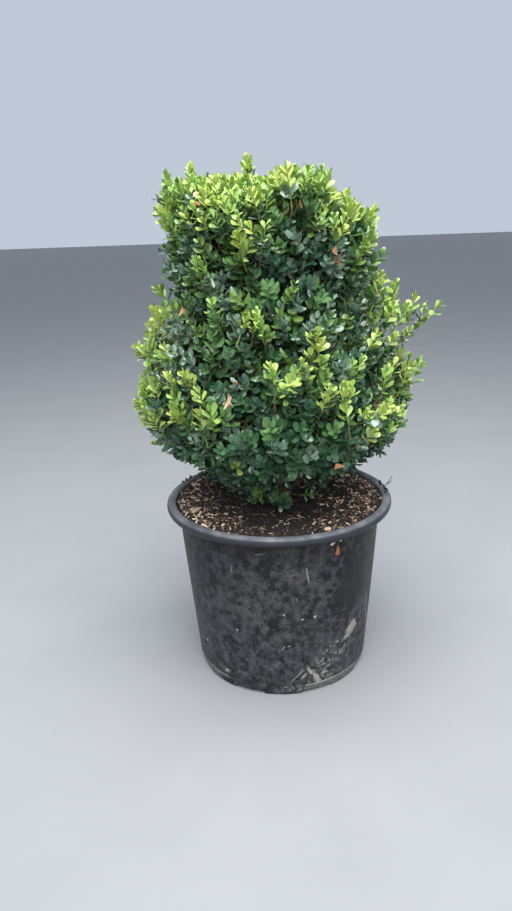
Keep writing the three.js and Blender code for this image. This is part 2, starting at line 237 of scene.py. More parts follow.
def piece(name, shape, finishes, nodes=(), tints=None, edge=1.1):
    """Makes a piece from (points in millimetres, triangles), with one finish or several by tint.

    An edge is sharp where the surface turns by more than that angle.
    """
    points, triangles = shape
    data = bpy.data.meshes.new(name)
    data.vertices.add(len(points))
    data.vertices.foreach_set("co", (points * metre).astype(np.float32).ravel())
    data.loops.add(triangles.size)
    data.loops.foreach_set("vertex_index", triangles.astype(np.int32).ravel())
    data.polygons.add(len(triangles))
    data.polygons.foreach_set("loop_start", np.arange(0, triangles.size, 3, dtype=np.int32))
    data.update(calc_edges=True)
    data.polygons.foreach_set("use_smooth", np.ones(len(triangles), dtype=bool))
    for finish in finishes if isinstance(finishes, list) else [finishes]:
        data.materials.append(finish)
    if tints is not None:
        data.polygons.foreach_set("material_index", tints.astype(np.int32))
    data.set_sharp_from_angle(angle=edge)
    made = placed(name, data)
    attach(made, "root")
    if nodes:
        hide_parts(*nodes)


def joined(shapes):
    """Several shapes as one."""
    points, triangles, start = [], [], 0
    for some_points, some_triangles in shapes:
        points.append(some_points)
        triangles.append(some_triangles + start)
        start += len(some_points)
    return np.concatenate(points), np.concatenate(triangles)


def copies(points, triangles):
    """One shape from many copies. points is (copies, points, 3), and triangles is one copy's own."""
    count, size = points.shape[:2]
    all_triangles = triangles[None] + (np.arange(count) * size)[:, None, None]
    return points.reshape(-1, 3), all_triangles.reshape(-1, 3)


def skin_faces(rings, count):
    """Triangles between rings of points that follow one another."""
    side = np.arange(count)
    start = np.arange(rings - 1)[:, None] * count
    a, b = start + side, start + (side + 1) % count
    faces = [np.stack([a, b, b + count], -1), np.stack([a, b + count, a + count], -1)]
    return np.concatenate(faces).reshape(-1, 3)


def tube_faces(rings, sides):
    """Triangles of a tube of rings, closed at both ends."""
    side = np.arange(1, sides - 1)
    cap = np.stack([side * 0, side + 1, side], -1)
    return np.concatenate([skin_faces(rings, sides), cap, cap[:, ::-1] + (rings - 1) * sides])


def tubes(paths, radii, sides):
    """Closed tubes along paths, (count, rings, 3), with a radius at each ring or at each point of it."""
    count, rings = paths.shape[:2]
    along = direction(np.gradient(paths, axis=1))
    mean = np.abs(along.mean(axis=1))
    guide = np.eye(3)[np.argmin(mean, axis=1)][:, None]
    across = direction(np.cross(along, np.broadcast_to(guide, along.shape)))
    over = np.cross(along, across)
    angles = np.arange(sides) / sides * turn
    if radii.ndim == 2:
        radii = radii[:, :, None]
    ring = np.cos(angles)[:, None] * across[:, :, None] + np.sin(angles)[:, None] * over[:, :, None]
    points = paths[:, :, None] + ring * radii[..., None]
    return copies(points.reshape(count, rings * sides, 3), tube_faces(rings, sides))


def bezier(first, bend, last, steps):
    """Points along quadratic curves, (count, steps, 3)."""
    share = np.linspace(0, 1, steps)[None, :, None]
    first, bend, last = (np.atleast_2d(np.asarray(p, float))[:, None] for p in (first, bend, last))
    return first * (1 - share) ** 2 + bend * 2 * share * (1 - share) + last * share**2


def lumps(points, size, seed=0.0):
    """Smooth noise from about -1 to 1 at each point."""
    moved = points / size + seed
    return np.array([noise.noise(Vector(p)) for p in moved.reshape(-1, 3)]).reshape(points.shape[:-1])


# The camera and the light

def set_camera():
    lens = bpy.data.cameras.new("camera")
    lens.sensor_width = 36
    lens.lens = focal_pixels / max(photo_size) * lens.sensor_width
    ahead = Vector((
        -math.sin(camera_left) * math.cos(camera_down),
        math.cos(camera_left) * math.cos(camera_down),
        -math.sin(camera_down),
    ))
    level = Vector((math.cos(camera_left), math.sin(camera_left), 0))
    upright = level.cross(ahead)
    across = level * math.cos(camera_roll) + upright * math.sin(camera_roll)
    over = upright * math.cos(camera_roll) - level * math.sin(camera_roll)
    place = Vector(camera_place) * metre
    camera = placed("camera", lens)
    camera.matrix_world = Matrix((
        (across.x, over.x, -ahead.x, place.x),
        (across.y, over.y, -ahead.y, place.y),
        (across.z, over.z, -ahead.z, place.z),
        (0, 0, 0, 1),
    ))
    bpy.context.scene.camera = camera


def set_light():
    bpy.context.scene.view_settings.view_transform = "Standard"
    world = bpy.data.worlds.new("soft daylight")
    world.use_nodes = True
    sky = world.node_tree.nodes["Background"]
    sky.inputs["Color"].default_value = (0.77, 0.86, 1.0, 1)
    sky.inputs["Strength"].default_value = 0.68
    bpy.context.scene.world = world
    aim = Vector((0, 0, 0.5))
    for name, place, size, power in [
        ("overhead softbox", (0.1, -0.6, 2.9), 2.2, 146),
        ("front softbox", (0.15, -2.7, 2.5), 2.2, 60),
    ]:
        lamp = bpy.data.lights.new(name, "AREA")
        lamp.size = size
        lamp.energy = power
        made = placed(name, lamp)
        made.location = place
        made.rotation_euler = (aim - made.location).to_track_quat("-Z", "Y").to_euler()


def pale_floor():
    finish = Finish("pale floor", Roughness=0.85)
    tone = finish.blend(finish.noise(160, 4), (0.27, 0.275, 0.28), (0.31, 0.315, 0.32))
    data = bpy.data.meshes.new("floor")
    half = 40
    corners = [(-half, -half, 0), (half, -half, 0), (half, half, 0), (-half, half, 0)]
    data.from_pydata(corners, [], [(0, 1, 2, 3)])
    data.materials.append(finish.feed(Base_Color=tone))
    placed("floor", data)


# The pot

def pot_outline(wall_rows=30, lip_rows=22):
    """(radius, height) of the pot's skin, from the middle of its underside over the lip to inside."""
    foot = wall_foot_radius - foot_inset
    rows = [(0.01, 0), (foot - 20, 0), (foot - notch_depth, 0), (foot - 0.8, 0), (foot, 0.8)]
    rows += [(foot, notch_height), (foot, foot_height - 4.5), (foot + 0.4, foot_height - 3.4)]
    rows += [(wall_foot_radius - 0.7, foot_height - 1.2), (wall_foot_radius, foot_height + 0.2)]
    wall_top = pot_height - 2 * roll_radius
    for share in np.linspace(0, 1, wall_rows)[1:]:
        rows.append((wall_foot_radius + share * (wall_top_radius - wall_foot_radius),
                     foot_height + share * (wall_top - 2 - foot_height)))
    for angle in np.radians(np.linspace(-75, 172, lip_rows)):
        rows.append((rim_radius - roll_radius + roll_radius * math.cos(angle),
                     pot_height - roll_radius + roll_radius * math.sin(angle)))
    rows += [(wall_top_radius - wall, wall_top), (wall_top_radius - wall - 4, wall_top - 50)]
    rows += [(foot - wall, wall), (0.01, wall)]
    return rows


def pot_columns(count=180):
    """Azimuths of the pot's columns, with a close pair at each side of a drain notch."""
    half = math.asin(notch_width / 2 / (wall_foot_radius - foot_inset))
    middles = [(index + 0.5) / drain_notches * turn for index in range(drain_notches)]
    edges = [m + side * (half + gap) for m in middles for side in (-1, 1) for gap in (-0.001, 0.004)]
    columns = np.unique(np.concatenate([np.arange(count) / count * turn, np.array(edges)]))
    away = np.abs((columns[:, None] - np.array(middles) + math.pi) % turn - math.pi).min(axis=1)
    return columns, away < half


def pot_shape():
    """The pot with its notches, a little out of round as soft plastic is."""
    outline = pot_outline()
    columns, notched = pot_columns()
    foot = wall_foot_radius - foot_inset
    rings = []
    for radius, height in outline:
        radii = np.full(len(columns), float(radius))
        heights = np.full(len(columns), float(height))
        if height < notch_height and radius > foot - 1:
            radii[notched] = foot - notch_depth if height == 0 else foot - 0.4
            heights[notched] = notch_height - 0.2
        if foot_height < height < pot_height and radius > wall_foot_radius:
            swell = 0.5 * np.sin(2 * columns + 1) + 0.35 * np.sin(3 * columns + height / 70)
            radii += swell * math.sin(math.pi * min(1, height / pot_height))
        rings.append(polar(radii, columns, heights))
    return np.concatenate(rings), skin_faces(len(outline), len(columns))


def round_wall(finish):
    """Azimuth in degrees and height, for marks that have a place on the pot."""
    azimuth = finish.coordinate(1).math("ARCTAN2", finish.coordinate(0)) * math.degrees(1)
    return azimuth, finish.coordinate(2)


def mark(azimuth, height, place, size, tilt=0.0, ragged=0.0):
    """1 on an oval mark of the pot's wall, fading at its ragged edge. place is degrees and height."""
    degree = math.radians(1) * (wall_foot_radius + wall_top_radius) / 2
    across = (azimuth - place[0]) * degree
    over = height - place[1]
    cos, sin = math.cos(math.radians(tilt)), math.sin(math.radians(tilt))
    along = (across * cos + over * sin) / size[0]
    beside = (over * cos - across * sin) / size[1]
    reach = (along * along + beside * beside).math("SQRT") + ragged
    return reach.rising(1.15, 0.75)


def marks(azimuth, height, places, ragged=0.0):
    """All of the marks in a list of (azimuth and height, half its length and width, tilt)."""
    found = mark(azimuth, height, *places[0], ragged)
    for place in places[1:]:
        found = found.either(mark(azimuth, height, *place, ragged))
    return found


# The wear on the pot: azimuth and height of each mark, half its length and width, and its tilt
dry_mud = [
    ((-42.2, 104), (17, 12), 36),
    ((-46.5, 91), (7, 4), 20),
    ((-73, 46), (11, 3.2), -60),
    ((-68.2, 28), (15, 5.5), -58),
    ((-64, 36), (6, 3), 10),
    ((-76.5, 38), (8, 2.2), 50),
    ((-128.6, 30), (5, 4), 40),
    ((138, 44), (16, 9), 20),
    ((62, 120), (11, 6), -35),
]
mud_splash = [
    ((-59, 64), (56, 22), 28),
    ((-48.5, 84), (24, 16), 30),
    ((-62, 26), (40, 10), 8),
    ((-84, 12), (30, 7), 0),
    ((150, 60), (40, 26), 10),
    ((50, 70), (36, 18), -20),
]
scratches = [
    ((-80.9, 40), (20, 1.3), 45),
    ((-89.4, 99), (5, 1.2), 60),
    ((-86, 102.5), (4, 1.1), 20),
    ((-75.4, 236), (17, 1.2), 99),
    ((-101, 279.5), (7, 0.7), 12),
    ((-81.3, 193.5), (3, 0.7), 85),
    ((-33, 118), (7, 1.1), 75),
    ((-28.5, 119), (5, 1.0), 80),
    ((-22.5, 112), (44, 1.5), -76),
    ((-117, 246), (9, 0.6), 82),
    ((40, 180), (26, 0.8), 35),
    ((75, 90), (18, 0.9), -20),
    ((130, 210), (30, 0.8), 12),
    ((170, 66), (15, 1.0), 70),
]
paint_specks = [
    ((-88.7, 165), (1.6, 1.4), 0),
    ((-78.1, 153.6), (1.9, 1.4), 20),
    ((-70.6, 155.3), (3.0, 1.8), 25),
    ((-53.8, 89.6), (1.7, 1.6), 0),
    ((-117.1, 126.4), (1.5, 1.9), 0),
    ((-146.8, 70.6), (3.0, 2.2), 60),
    ((20, 140), (1.8, 1.5), 0),
    ((110, 96), (2.4, 1.6), 10),
    ((165, 180), (1.6, 1.6), 0),
]
dark_rubs = [
    ((-94, 146), (9, 7), 10),
    ((-124, 100), (13, 11), 0),
    ((-46, 200), (84, 50), 84),
    ((-132, 215), (9, 30), 8),
]


def pot_finish():
    """Worn charcoal plastic, with haze, splashes, dry mud and a dusty foot.

    A painted highlight runs along the foot's step and the lip's crest, over painted shade under the lip.
    """
    finish = Finish("charcoal pot plastic", Roughness=0.5, Specular_IOR_Level=0.2)
    azimuth, height = round_wall(finish)
    grime = finish.noise(3.0, 5, offset=2).rising(0.40, 0.64)
    blotches = finish.noise(13, 4, offset=4).rising(0.36, 0.64)
    mottle = finish.noise(7, 5, offset=3).rising(0.38, 0.66)
    clouds = finish.noise(60, 3, (1, 1, 0.8), offset=5).rising(0.36, 0.64)
    streaks = finish.noise(7, 4, (1, 1, 0.14), offset=9).rising(0.46, 0.64)
    flecks = finish.noise(1.7, 2, offset=12).rising(0.62, 0.70)
    haze = mark(azimuth, height, (-92, 190), (95, 85), 0, (clouds - 0.5) * 0.5)
    haze = haze * 0.6 + clouds * 0.4
    low_down = height.rising(230, 20)
    uneven = 0.2 + blotches * 0.8
    rubs = marks(azimuth, height, dark_rubs, (blotches - 0.5) * 0.8)
    # A patchy, darker brown band just under the lip
    brown_band_under_lip = height.rising(262, 284) * finish.noise(26, 4, offset=50).rising(0.4, 0.6)

    ragged = (finish.noise(4.5, 5, offset=30) - 0.5) * 2.2
    splashed = finish.noise(5.5, 5, offset=34).rising(0.50, 0.60)
    splash = marks(azimuth, height, mud_splash, ragged * 0.5) * splashed
    mud = marks(azimuth, height, dry_mud, ragged) * (0.6 + grime * 0.4)
    lines = marks(azimuth, height, scratches, (finish.noise(2.5, 3, offset=33) - 0.5) * 1.5)
    specks = marks(azimuth, height, paint_specks)

    round_foot = finish.noise(52, 3, (1, 1, 0.01), offset=20).rising(0.50, 0.62)
    round_foot = round_foot * abs(azimuth + 105).rising(18, 30)
    front_foot = abs(azimuth + 52).rising(28, 18)
    # side_foot only places the painted highlight on the foot's step at the left side
    side_foot = abs(azimuth + 158).rising(34, 26)
    ring = height.rising(17, 13) * round_foot.either(front_foot) * (0.45 + grime * 0.55)
    # A painted highlight along the foot's step, where the foot is dusty and along its left side
    edge = abs(height - foot_height).rising(3.6, 1.4) * round_foot.either(front_foot).either(side_foot)

    # The lip: painted shade below its crest, less of it up the outer side, and a painted highlight on
    # the crest
    lip = height.rising(pot_height - 19, pot_height - 17)
    lip_side = height.rising(pot_height - 14, pot_height - 8)
    crest = height.rising(pot_height - 6, pot_height - 1.5)
    wear_and_highlight = finish.noise(34, 5, offset=41).rising(0.3, 0.7)
    colour = finish.layers(
        finish.blend(blotches, (0.0065, 0.0073, 0.010), (0.036, 0.0375, 0.0425)),
        (mottle * (0.1 + low_down * 0.6) * uneven, (0.118, 0.120, 0.126)),
        (haze * (0.1 + grime * 0.75) * uneven, (0.122, 0.111, 0.109)),
        (streaks * (1 - haze) * 0.25, (0.092, 0.094, 0.100)),
        (rubs * 0.8, (0.0085, 0.009, 0.012)),
        (brown_band_under_lip * 0.6, (0.022, 0.014, 0.011)),
        (flecks * (0.4 + low_down * 0.4), (0.24, 0.235, 0.23)),
        (splash * 0.75, (0.27, 0.265, 0.245)),
        (mud * 0.9, (0.44, 0.40, 0.34)),
        (lines * 0.7, (0.34, 0.33, 0.31)),
        (specks, (0.46, 0.46, 0.455)),
        (ring * 0.8, (0.24, 0.24, 0.23)),
        # Painted highlight along the foot's step, uneven with grime
        (edge * (0.5 + grime * 0.5), (0.48, 0.47, 0.44)),
        # Painted shade over the lip, lighter up its outer side, and a painted highlight on its crest, in
        # patches
        (lip, (0.020, 0.0215, 0.027)),
        (lip_side * (0.6 + wear_and_highlight * 0.4), (0.041, 0.044, 0.053)),
        (crest * (0.25 + wear_and_highlight * 0.75), (0.205, 0.21, 0.23)),
    )
    rough = 0.44 + haze * 0.14 + mud * 0.3 + splash * 0.2 + ring * 0.3 - rubs * 0.08 - lip * 0.12
    grain = finish.noise(1.6, 3, offset=60) * 0.5 + finish.noise(9, 3, offset=61) * 0.5
    grain = grain - lines * 0.5 + mud * 0.5
    return finish.feed(Base_Color=colour, Roughness=rough, Normal=finish.relief(grain, 0.5))


# The compost

lip_level = 308.5
lip_inside = 182


def compost_rise(radius):
    """Level of the compost's top, before its crumbs."""
    inside = wall_top_radius - wall
    table = [(0, compost_level), (42, compost_level), (80, compost_level + 2),
             (inside - 60, compost_crest - 1), (inside - 18, compost_crest), (lip_inside, lip_level)]
    return np.interp(radius, *zip(*table))


def compost_top(place):
    """Height of the crumbly top at points in plan, (count, 2). It is heaped up at both sides."""
    flat = np.column_stack([place, np.zeros(len(place))])
    radius = np.hypot(place[:, 0], place[:, 1])
    crumbs = 2.6 * lumps(flat, 19, 3.1) + 1.8 * lumps(flat, 8, 7.7) + 1.2 * lumps(flat, 3.4, 11.3)
    heap = 2.5 * np.clip((np.abs(place[:, 0]) - 95) / 50, 0, 1)
    return compost_rise(radius) + heap + crumbs * np.clip((lip_inside - radius) / 8, 0.25, 1)


def compost_shape(rings=80, sides=240):
    """The compost as a closed body: its crumbly top, its side down the pot's wall, and its underside."""
    radii = np.linspace(0.5, lip_inside - 0.6, rings)
    angles = np.arange(sides) / sides * turn
    place = polar(radii[:, None], angles[None], 0)[..., :2].reshape(-1, 2)
    top = np.column_stack([place, compost_top(place)])
    foot = wall_foot_radius - foot_inset - wall - 2
    under_lip = polar(wall_top_radius - wall - 1, angles, pot_height - 2 * roll_radius)
    points = np.concatenate([
        top, under_lip, polar(foot, angles, wall + 1), polar(0.5, angles, wall + 1),
    ])
    return points, tube_faces(rings + 3, sides)[:, ::-1]


def in_plan(azimuth, radius):
    """Places in plan, from azimuths in degrees and distances from the axis."""
    return polar(radius, np.radians(azimuth), 0)[:, :2]


def scattered(random, count, radius, thinner_middle=0.0):
    """Places in plan, spread evenly over the compost or thinner towards its middle."""
    out = radius * random.random(count) ** (0.5 - thinner_middle)
    angle = random.random(count) * turn
    return np.column_stack([out * np.cos(angle), out * np.sin(angle)])


def chips(random, places, length, width, thick, heading=None, level=None):
    """Irregular split chips that lie on the compost, or at the given levels, and a little sunk in."""
    count = len(places)
    if heading is None:
        heading = random.random(count) * turn
    if level is None:
        level = compost_top(places)
    tip = random.normal(0, 0.24, count)
    axis = polar(np.cos(tip), heading, np.sin(tip))
    lean = direction(up + random.normal(0, 0.3, (count, 3)))
    across = direction(np.cross(lean, axis))
    ways = np.stack([axis, across, np.cross(axis, across)], axis=1)
    corners = np.array([(x, y, z) for z in (-0.5, 0.5) for y in (-0.5, 0.5) for x in (-0.5, 0.5)])
    size = np.stack([length, width, thick], -1)[:, None]
    local = corners[None] * size * random.uniform(0.45, 1.1, (count, 8, 3))
    middle = np.column_stack([places, level + 0.2 * thick])[:, None]
    faces = np.array([
        (0, 2, 3), (0, 3, 1), (4, 5, 7), (4, 7, 6), (0, 1, 5), (0, 5, 4),
        (2, 6, 7), (2, 7, 3), (0, 4, 6), (0, 6, 2), (1, 3, 7), (1, 7, 5),
    ])
    return copies(middle + local @ ways, faces)


def fibres(random, places, length, heading=None, thick=1.0, rings=6):
    """Thin curled fibres of peat and bark."""
    count = len(places)
    if heading is None:
        heading = random.random(count) * turn
    step = polar(1, heading, 0) * (length / 2)[:, None]
    side = polar(1, heading + turn / 4, 0) * (random.normal(0, 0.35, count) * length)[:, None]
    middle = np.column_stack([places, compost_top(places) + 0.6])
    lift = random.uniform(0.5, 3.5, count)[:, None] * up
    paths = bezier(middle - step, middle + side + lift, middle + step, rings)
    paths[..., 2] += lumps(paths, 5, 2.0) * 1.2
    radii = np.linspace(0.55, 0.3, rings)[None] * random.uniform(0.7, 1.5, (count, 1)) * thick
    return tubes(paths, radii, 3)


def compost_finish():
    finish = Finish("dark compost", Roughness=0.92)
    crumb = finish.cells(2.6, output="Color")
    shade = finish.add("ShaderNodeSeparateColor", {}, {0: crumb})
    damp = finish.noise(48, 4).rising(0.42, 0.62)
    colour = finish.layers(
        finish.blend(shade.rising(0.1, 0.95), (0.007, 0.006, 0.0058), (0.042, 0.031, 0.027)),
        (shade.rising(0.94, 0.97), (0.30, 0.19, 0.12)),
        (damp * 0.5, (0.018, 0.015, 0.014)),
    )
    height = finish.cells(2.2) * 0.6 + finish.noise(5, 5) * 0.4
    return finish.feed(Base_Color=colour, Normal=finish.relief(height, 1.5))


def chip_finish(name, pale, dark):
    finish = Finish(name, Roughness=0.88)
    grain = finish.noise(2.4, 5, (1, 1, 1.6))
    height = finish.noise(0.9, 3)
    colour = finish.blend(grain.rising(0.35, 0.65), dark, pale)
    return finish.feed(Base_Color=colour, Normal=finish.relief(height, 0.4))


# Chips and bits that can be told apart in the photograph: azimuth and distance from the axis, length,
# width and turn in degrees, and for a fibre its length and turn
pale_chips = [
    (-155, 158, 27, 9, 60), (-165, 176, 14, 6, 100), (-171, 178, 9, 6, 40), (-169, 168, 11, 5, 120),
    (151, 176, 18, 6, 80), (157, 170, 13, 7, 30), (160, 164, 9, 5, 0), (-126, 160, 20, 4, 24),
    (-160, 137, 9, 4, 70), (-17, 160, 11, 6, 130), (-12, 150, 9, 4, 20), (23, 176, 10, 4, 10),
    (9, 170, 16, 3, 30), (-43, 156, 8, 5, 90), (-46, 158, 7, 4, 60), (2, 178, 9, 5, 160),
    (-8, 182, 10, 5, 70), (14, 168, 8, 4, 110), (95, 150, 14, 6, 40), (60, 160, 12, 5, 10),
    (120, 140, 16, 5, 70), (-100, 148, 8, 4, 10), (-95, 163, 11, 3, 170),
]
lichen_bits = [(-2, 128, 9, 6, 10), (-11, 134, 10, 6, 50), (-13, 143, 8, 5, 100), (-10, 148, 7, 4, 0),
               (-88, 112, 8, 3, 20), (-84, 124, 9, 4, 10), (-86, 130, 6, 3, 70), (128, 120, 8, 5, 30)]
front_fibres = [(-126, 160, 24, 20), (-124, 140, 22, 60), (-122, 124, 18, 100), (-112, 147, 16, 80),
                (-106, 150, 18, 40), (-100, 156, 14, 120), (-78, 116, 26, 10), (-74, 146, 22, 70),
                (-170, 116, 30, 35), (-92, 140, 20, 160)]


# Crumbs that lie on the rim: azimuth and distance from the axis
rim_crumbs = [
    (151, 193), (153, 191), (155, 194), (157, 190), (158.5, 195), (160, 192), (149, 190),
    (3, 191), (6, 193), (9, 190), (12, 192), (-3, 190), (1, 194),
]


def placed_chips(random, places, thick):
    """Chips at chosen places. thick is a share of their width."""
    azimuth, radius, length, width, turned = np.array(places, float).T
    return chips(random, in_plan(azimuth, radius), length, width, width * thick, np.radians(turned))


def lay(name, shape, material, pale, dark):
    """A piece of the compost's litter."""
    piece(name, shape, chip_finish(material, pale, dark))


def lay_compost():
    random = np.random.default_rng(plant_seed)
    top_radius = lip_inside - 3
    piece("compost_bed", compost_shape(), compost_finish(), ["compost"])
    count = 4200
    size = random.uniform(1.2, 5.0, count)
    crumbs = chips(random, scattered(random, count, top_radius), size, size * 0.8, size * 0.7)
    lay("compost_crumbs", crumbs, "peat crumbs", (0.046, 0.033, 0.028), (0.009, 0.0075, 0.007))
    for colour, count, (least, most), pale, dark in [
        ("tan", 1700, (2, 13), (1.0, 0.79, 0.59), (0.70, 0.48, 0.32)),
        ("rust", 1700, (2, 10), (0.46, 0.26, 0.155), (0.17, 0.085, 0.05)),
        ("grey", 900, (2, 10), (0.25, 0.20, 0.165), (0.08, 0.058, 0.048)),
        ("dark", 800, (3, 12), (0.070, 0.046, 0.035), (0.024, 0.017, 0.014)),
    ]:
        places = scattered(random, count, top_radius, 0.2)
        aside = np.abs(places[:, 0]) / top_radius
        # Pale chips thin out towards the middle under the crown: painted shade that leaves the middle
        # darker
        share = 1 if colour == "dark" else np.clip(aside * 1.9 - 0.35, 0.07, 1)
        places = places[random.random(count) < share]
        count = len(places)
        length = least + (most - least) * random.random(count) ** 2.2
        width, thick = (length * random.uniform(0.12, most, count) for most in (0.36, 0.3))
        made = chips(random, places, length, width, thick)
        lay(f"bark_chips_{colour}", made, f"bark chips {colour}", pale, dark)
    lay("pale_chips", placed_chips(random, pale_chips, 0.3), "pale split wood",
        (0.80, 0.60, 0.40), (0.52, 0.35, 0.20))
    lay("lichen_bits", placed_chips(random, lichen_bits, 0.25), "lichen bits",
        (0.62, 0.66, 0.46), (0.36, 0.40, 0.24))
    count = 150
    loose = fibres(random, scattered(random, count, top_radius - 4, 0.1), random.uniform(6, 22, count))
    azimuth, radius, length, turned = np.array(front_fibres, float).T
    front = fibres(random, in_plan(azimuth, radius), length, np.radians(turned), thick=1.5)
    lay("compost_fibres", joined([loose, front]), "pale fibres", (0.50, 0.36, 0.24), (0.26, 0.17, 0.10))


def lay_litter():
    """What lies on the rim and hangs under it: crumbs, a twig and a withered leaf."""
    random = np.random.default_rng(plant_seed + 7)
    azimuth, radius = np.array(rim_crumbs, float).T
    count = len(azimuth)
    size = random.uniform(4, 8, count)
    crumbs = chips(random, in_plan(azimuth, radius), size, size * 0.7, size * 0.6,
                   level=np.full(count, pot_height - 0.6))
    twig = bezier((188, 12, 313), (200, 26, 319), (211, 44, 327), 6)
    small = bezier((200, 26, 318), (203, 25, 321), (207, 22, 325), 6)
    twigs = tubes(np.concatenate([twig, small]), np.linspace(0.9, 0.5, 6)[None] * np.ones((2, 1)), 5)
    lay("rim_crumbs", joined([crumbs, twigs]), "peat crumbs on the rim",
        (0.040, 0.030, 0.026), (0.010, 0.008, 0.008))
    leaves = Leaves()
    azimuth = np.radians([-59.2, -60.6, -58.4])
    foot = polar(np.array([180.5, 181.5, 181.5]), azimuth, np.array([284.0, 290, 291]))
    out = polar(1, azimuth, 0)
    side = polar(1, azimuth + turn / 4, 0)
    axis = direction(-up * np.array([[1], [0.35], [0.2]]) + side * np.array([[0.12], [-1], [0.8]]))
    length = np.array([20.0, 9, 7])
    leaves.put(foot=foot, axis=axis, face=direction(out + 0.2 * up), length=length, width=length * 0.5,
               cup=np.full(3, -0.12), bend=np.array([-0.08, -0.2, -0.2]))
    points, faces = leaf_shapes(leaves, fresh_blade)
    stuck = [tinted("rust withered leaf", (0.32, 0.11, 0.045), (0.50, 0.24, 0.12), 0.7, 0.3),
             tinted("tan withered leaf", (0.60, 0.40, 0.26), (0.74, 0.58, 0.42), 0.7, 0.3)]
    piece("stuck_leaf", copies(points, faces), stuck, tints=np.repeat([0, 1, 1], len(faces)))


# The crown's outline and the spaces of its masses

def rounded_end(share, corner):
    return (1 - np.clip(share, 0, 1) ** corner) ** (1 / corner)


def crown_radius(level):
    level = np.asarray(level, float)
    drop = (belly_height - level) / (belly_height - crown_foot)
    below = belly_radius * rounded_end(drop, under_corner)
    rise = (level - belly_height) / (shoulder_height - belly_height)
    middle = belly_radius + (shoulder_radius - belly_radius) * (1 - np.cos(math.pi * rise)) / 2
    drop = (level - shoulder_height) / (crown_top - shoulder_height)
    above = shoulder_radius * rounded_end(drop, top_corner)
    return np.where(level < belly_height, below, np.where(level < shoulder_height, middle, above))


def tilt_at(x, level):
    rise = np.clip((level - belly_height) / (crown_top - belly_height), 0, 1)
    return top_fall * x / shoulder_radius * rise


def crown_point(level, azimuth):
    point = polar(crown_radius(level), azimuth, level)
    point[..., 2] -= tilt_at(point[..., 0], level)
    return point


def outward_at(level, azimuth):
    slope = (crown_radius(level + 2) - crown_radius(level - 2)) / 4
    return direction(polar(1, azimuth, -slope))


def outline_points(count):
    """Levels and azimuths spread evenly over the outline, by area, on a golden-angle spiral."""
    levels = crown_top - (crown_top - crown_foot) * np.linspace(1, 0, 3000) ** 5
    radii = crown_radius(levels)
    bands = (radii[1:] + radii[:-1]) * np.hypot(np.diff(radii), np.diff(levels))
    area = np.cumsum(bands)
    wanted = (np.arange(count) + 0.5) / count * area[-1]
    return levels[np.searchsorted(area, wanted)], np.arange(count) * golden_angle


def bough_plan():
    """Every bough: its name, its path, its thickness and the middle of its mass of foliage."""
    plan = []
    for ring in bough_rings:
        for index in range(ring["count"]):
            azimuth = math.radians(ring["first"] + index * 360 / ring["count"])
            start, bend, tip = (
                polar(*place) for place in [
                    (0, azimuth, ring["start"]),
                    (ring["bend"][0], azimuth, ring["bend"][1]),
                    (ring["tip"][0], azimuth, ring["tip"][1]),
                ]
            )
            plan.append(dict(
                name=f"{ring['name']}_{index + 1}", path=bezier(start, bend, tip, 26)[0],
                thick=ring["thick"], centre=polar(ring["centre"][0], azimuth, ring["centre"][1]),
            ))
    plan.append(dict(name="top", path=smooth_path(leader_points, 34), thick=leader_thick,
                     centre=np.array(leader_centre, float)))
    return plan


def smooth_path(points, steps):
    """A curve through the points, (steps, 3)."""
    points = np.array(points, float)
    padded = np.concatenate([2 * points[:1] - points[1:2], points, 2 * points[-1:] - points[-2:-1]])
    made = []
    for share in np.linspace(0, len(points) - 1 - 1e-9, steps):
        index = int(share)
        t = share - index
        a, b, c, d = padded[index:index + 4]
        made.append(0.5 * (2 * b + (c - a) * t + (2 * a - 5 * b + 4 * c - d) * t**2
                           + (3 * b - a - 3 * c + d) * t**3))
    return np.array(made)


boughs = bough_plan()
centres = np.array([bough["centre"] for bough in boughs])


def mass_at(points):
    """The index of the mass in whose part of the crown each point lies."""
    return np.linalg.norm(points[..., None, :] - centres, axis=-1).argmin(axis=-1)


def in_space(points, under=0.0):
    """Whether points lie inside the plant's box, over the pot and compost, and outside the well.

    Below the belly they lie that far inside the outline.
    """
    margin = 2
    low, high = (np.array(corner) / metre for corner in solid_box)
    out, level = np.hypot(points[..., 0], points[..., 1]), points[..., 2]
    over_pot = level > np.where(out > wall_top_radius - 20, pot_height, compost_crest) + margin
    in_box = ((points > low + margin) & (points < high - margin)).all(axis=-1)
    clear = (out > well_radius * 0.5) | (level > well_top) | (level < crown_foot + 30)
    over_foot = (out < 100) | (level > belly_height) | (out + under < crown_radius(level + 16))
    return over_pot & in_box & clear & over_foot


# Trunk and boughs

def bark_ridges(points, size, depth):
    """Long shallow ridges and a few knots, as an outward offset in millimetres."""
    long = points * np.array([1, 1, 0.22])
    ridges = lumps(long, size, 4.2) + 0.5 * lumps(long, size * 0.4, 8.8)
    return depth * (ridges + 0.35 * lumps(points, 5, 1.5))


def bark_tube(path, radii, reach, size, depth):
    """A limb with the bark's relief. The relief is read at that reach from the limb's path."""
    sides = radii.shape[1]
    surface = path[:, None] + polar(reach, np.arange(sides)[None] / sides * turn, 0)
    return tubes(path[None], (radii + bark_ridges(surface, size, depth))[None], sides)


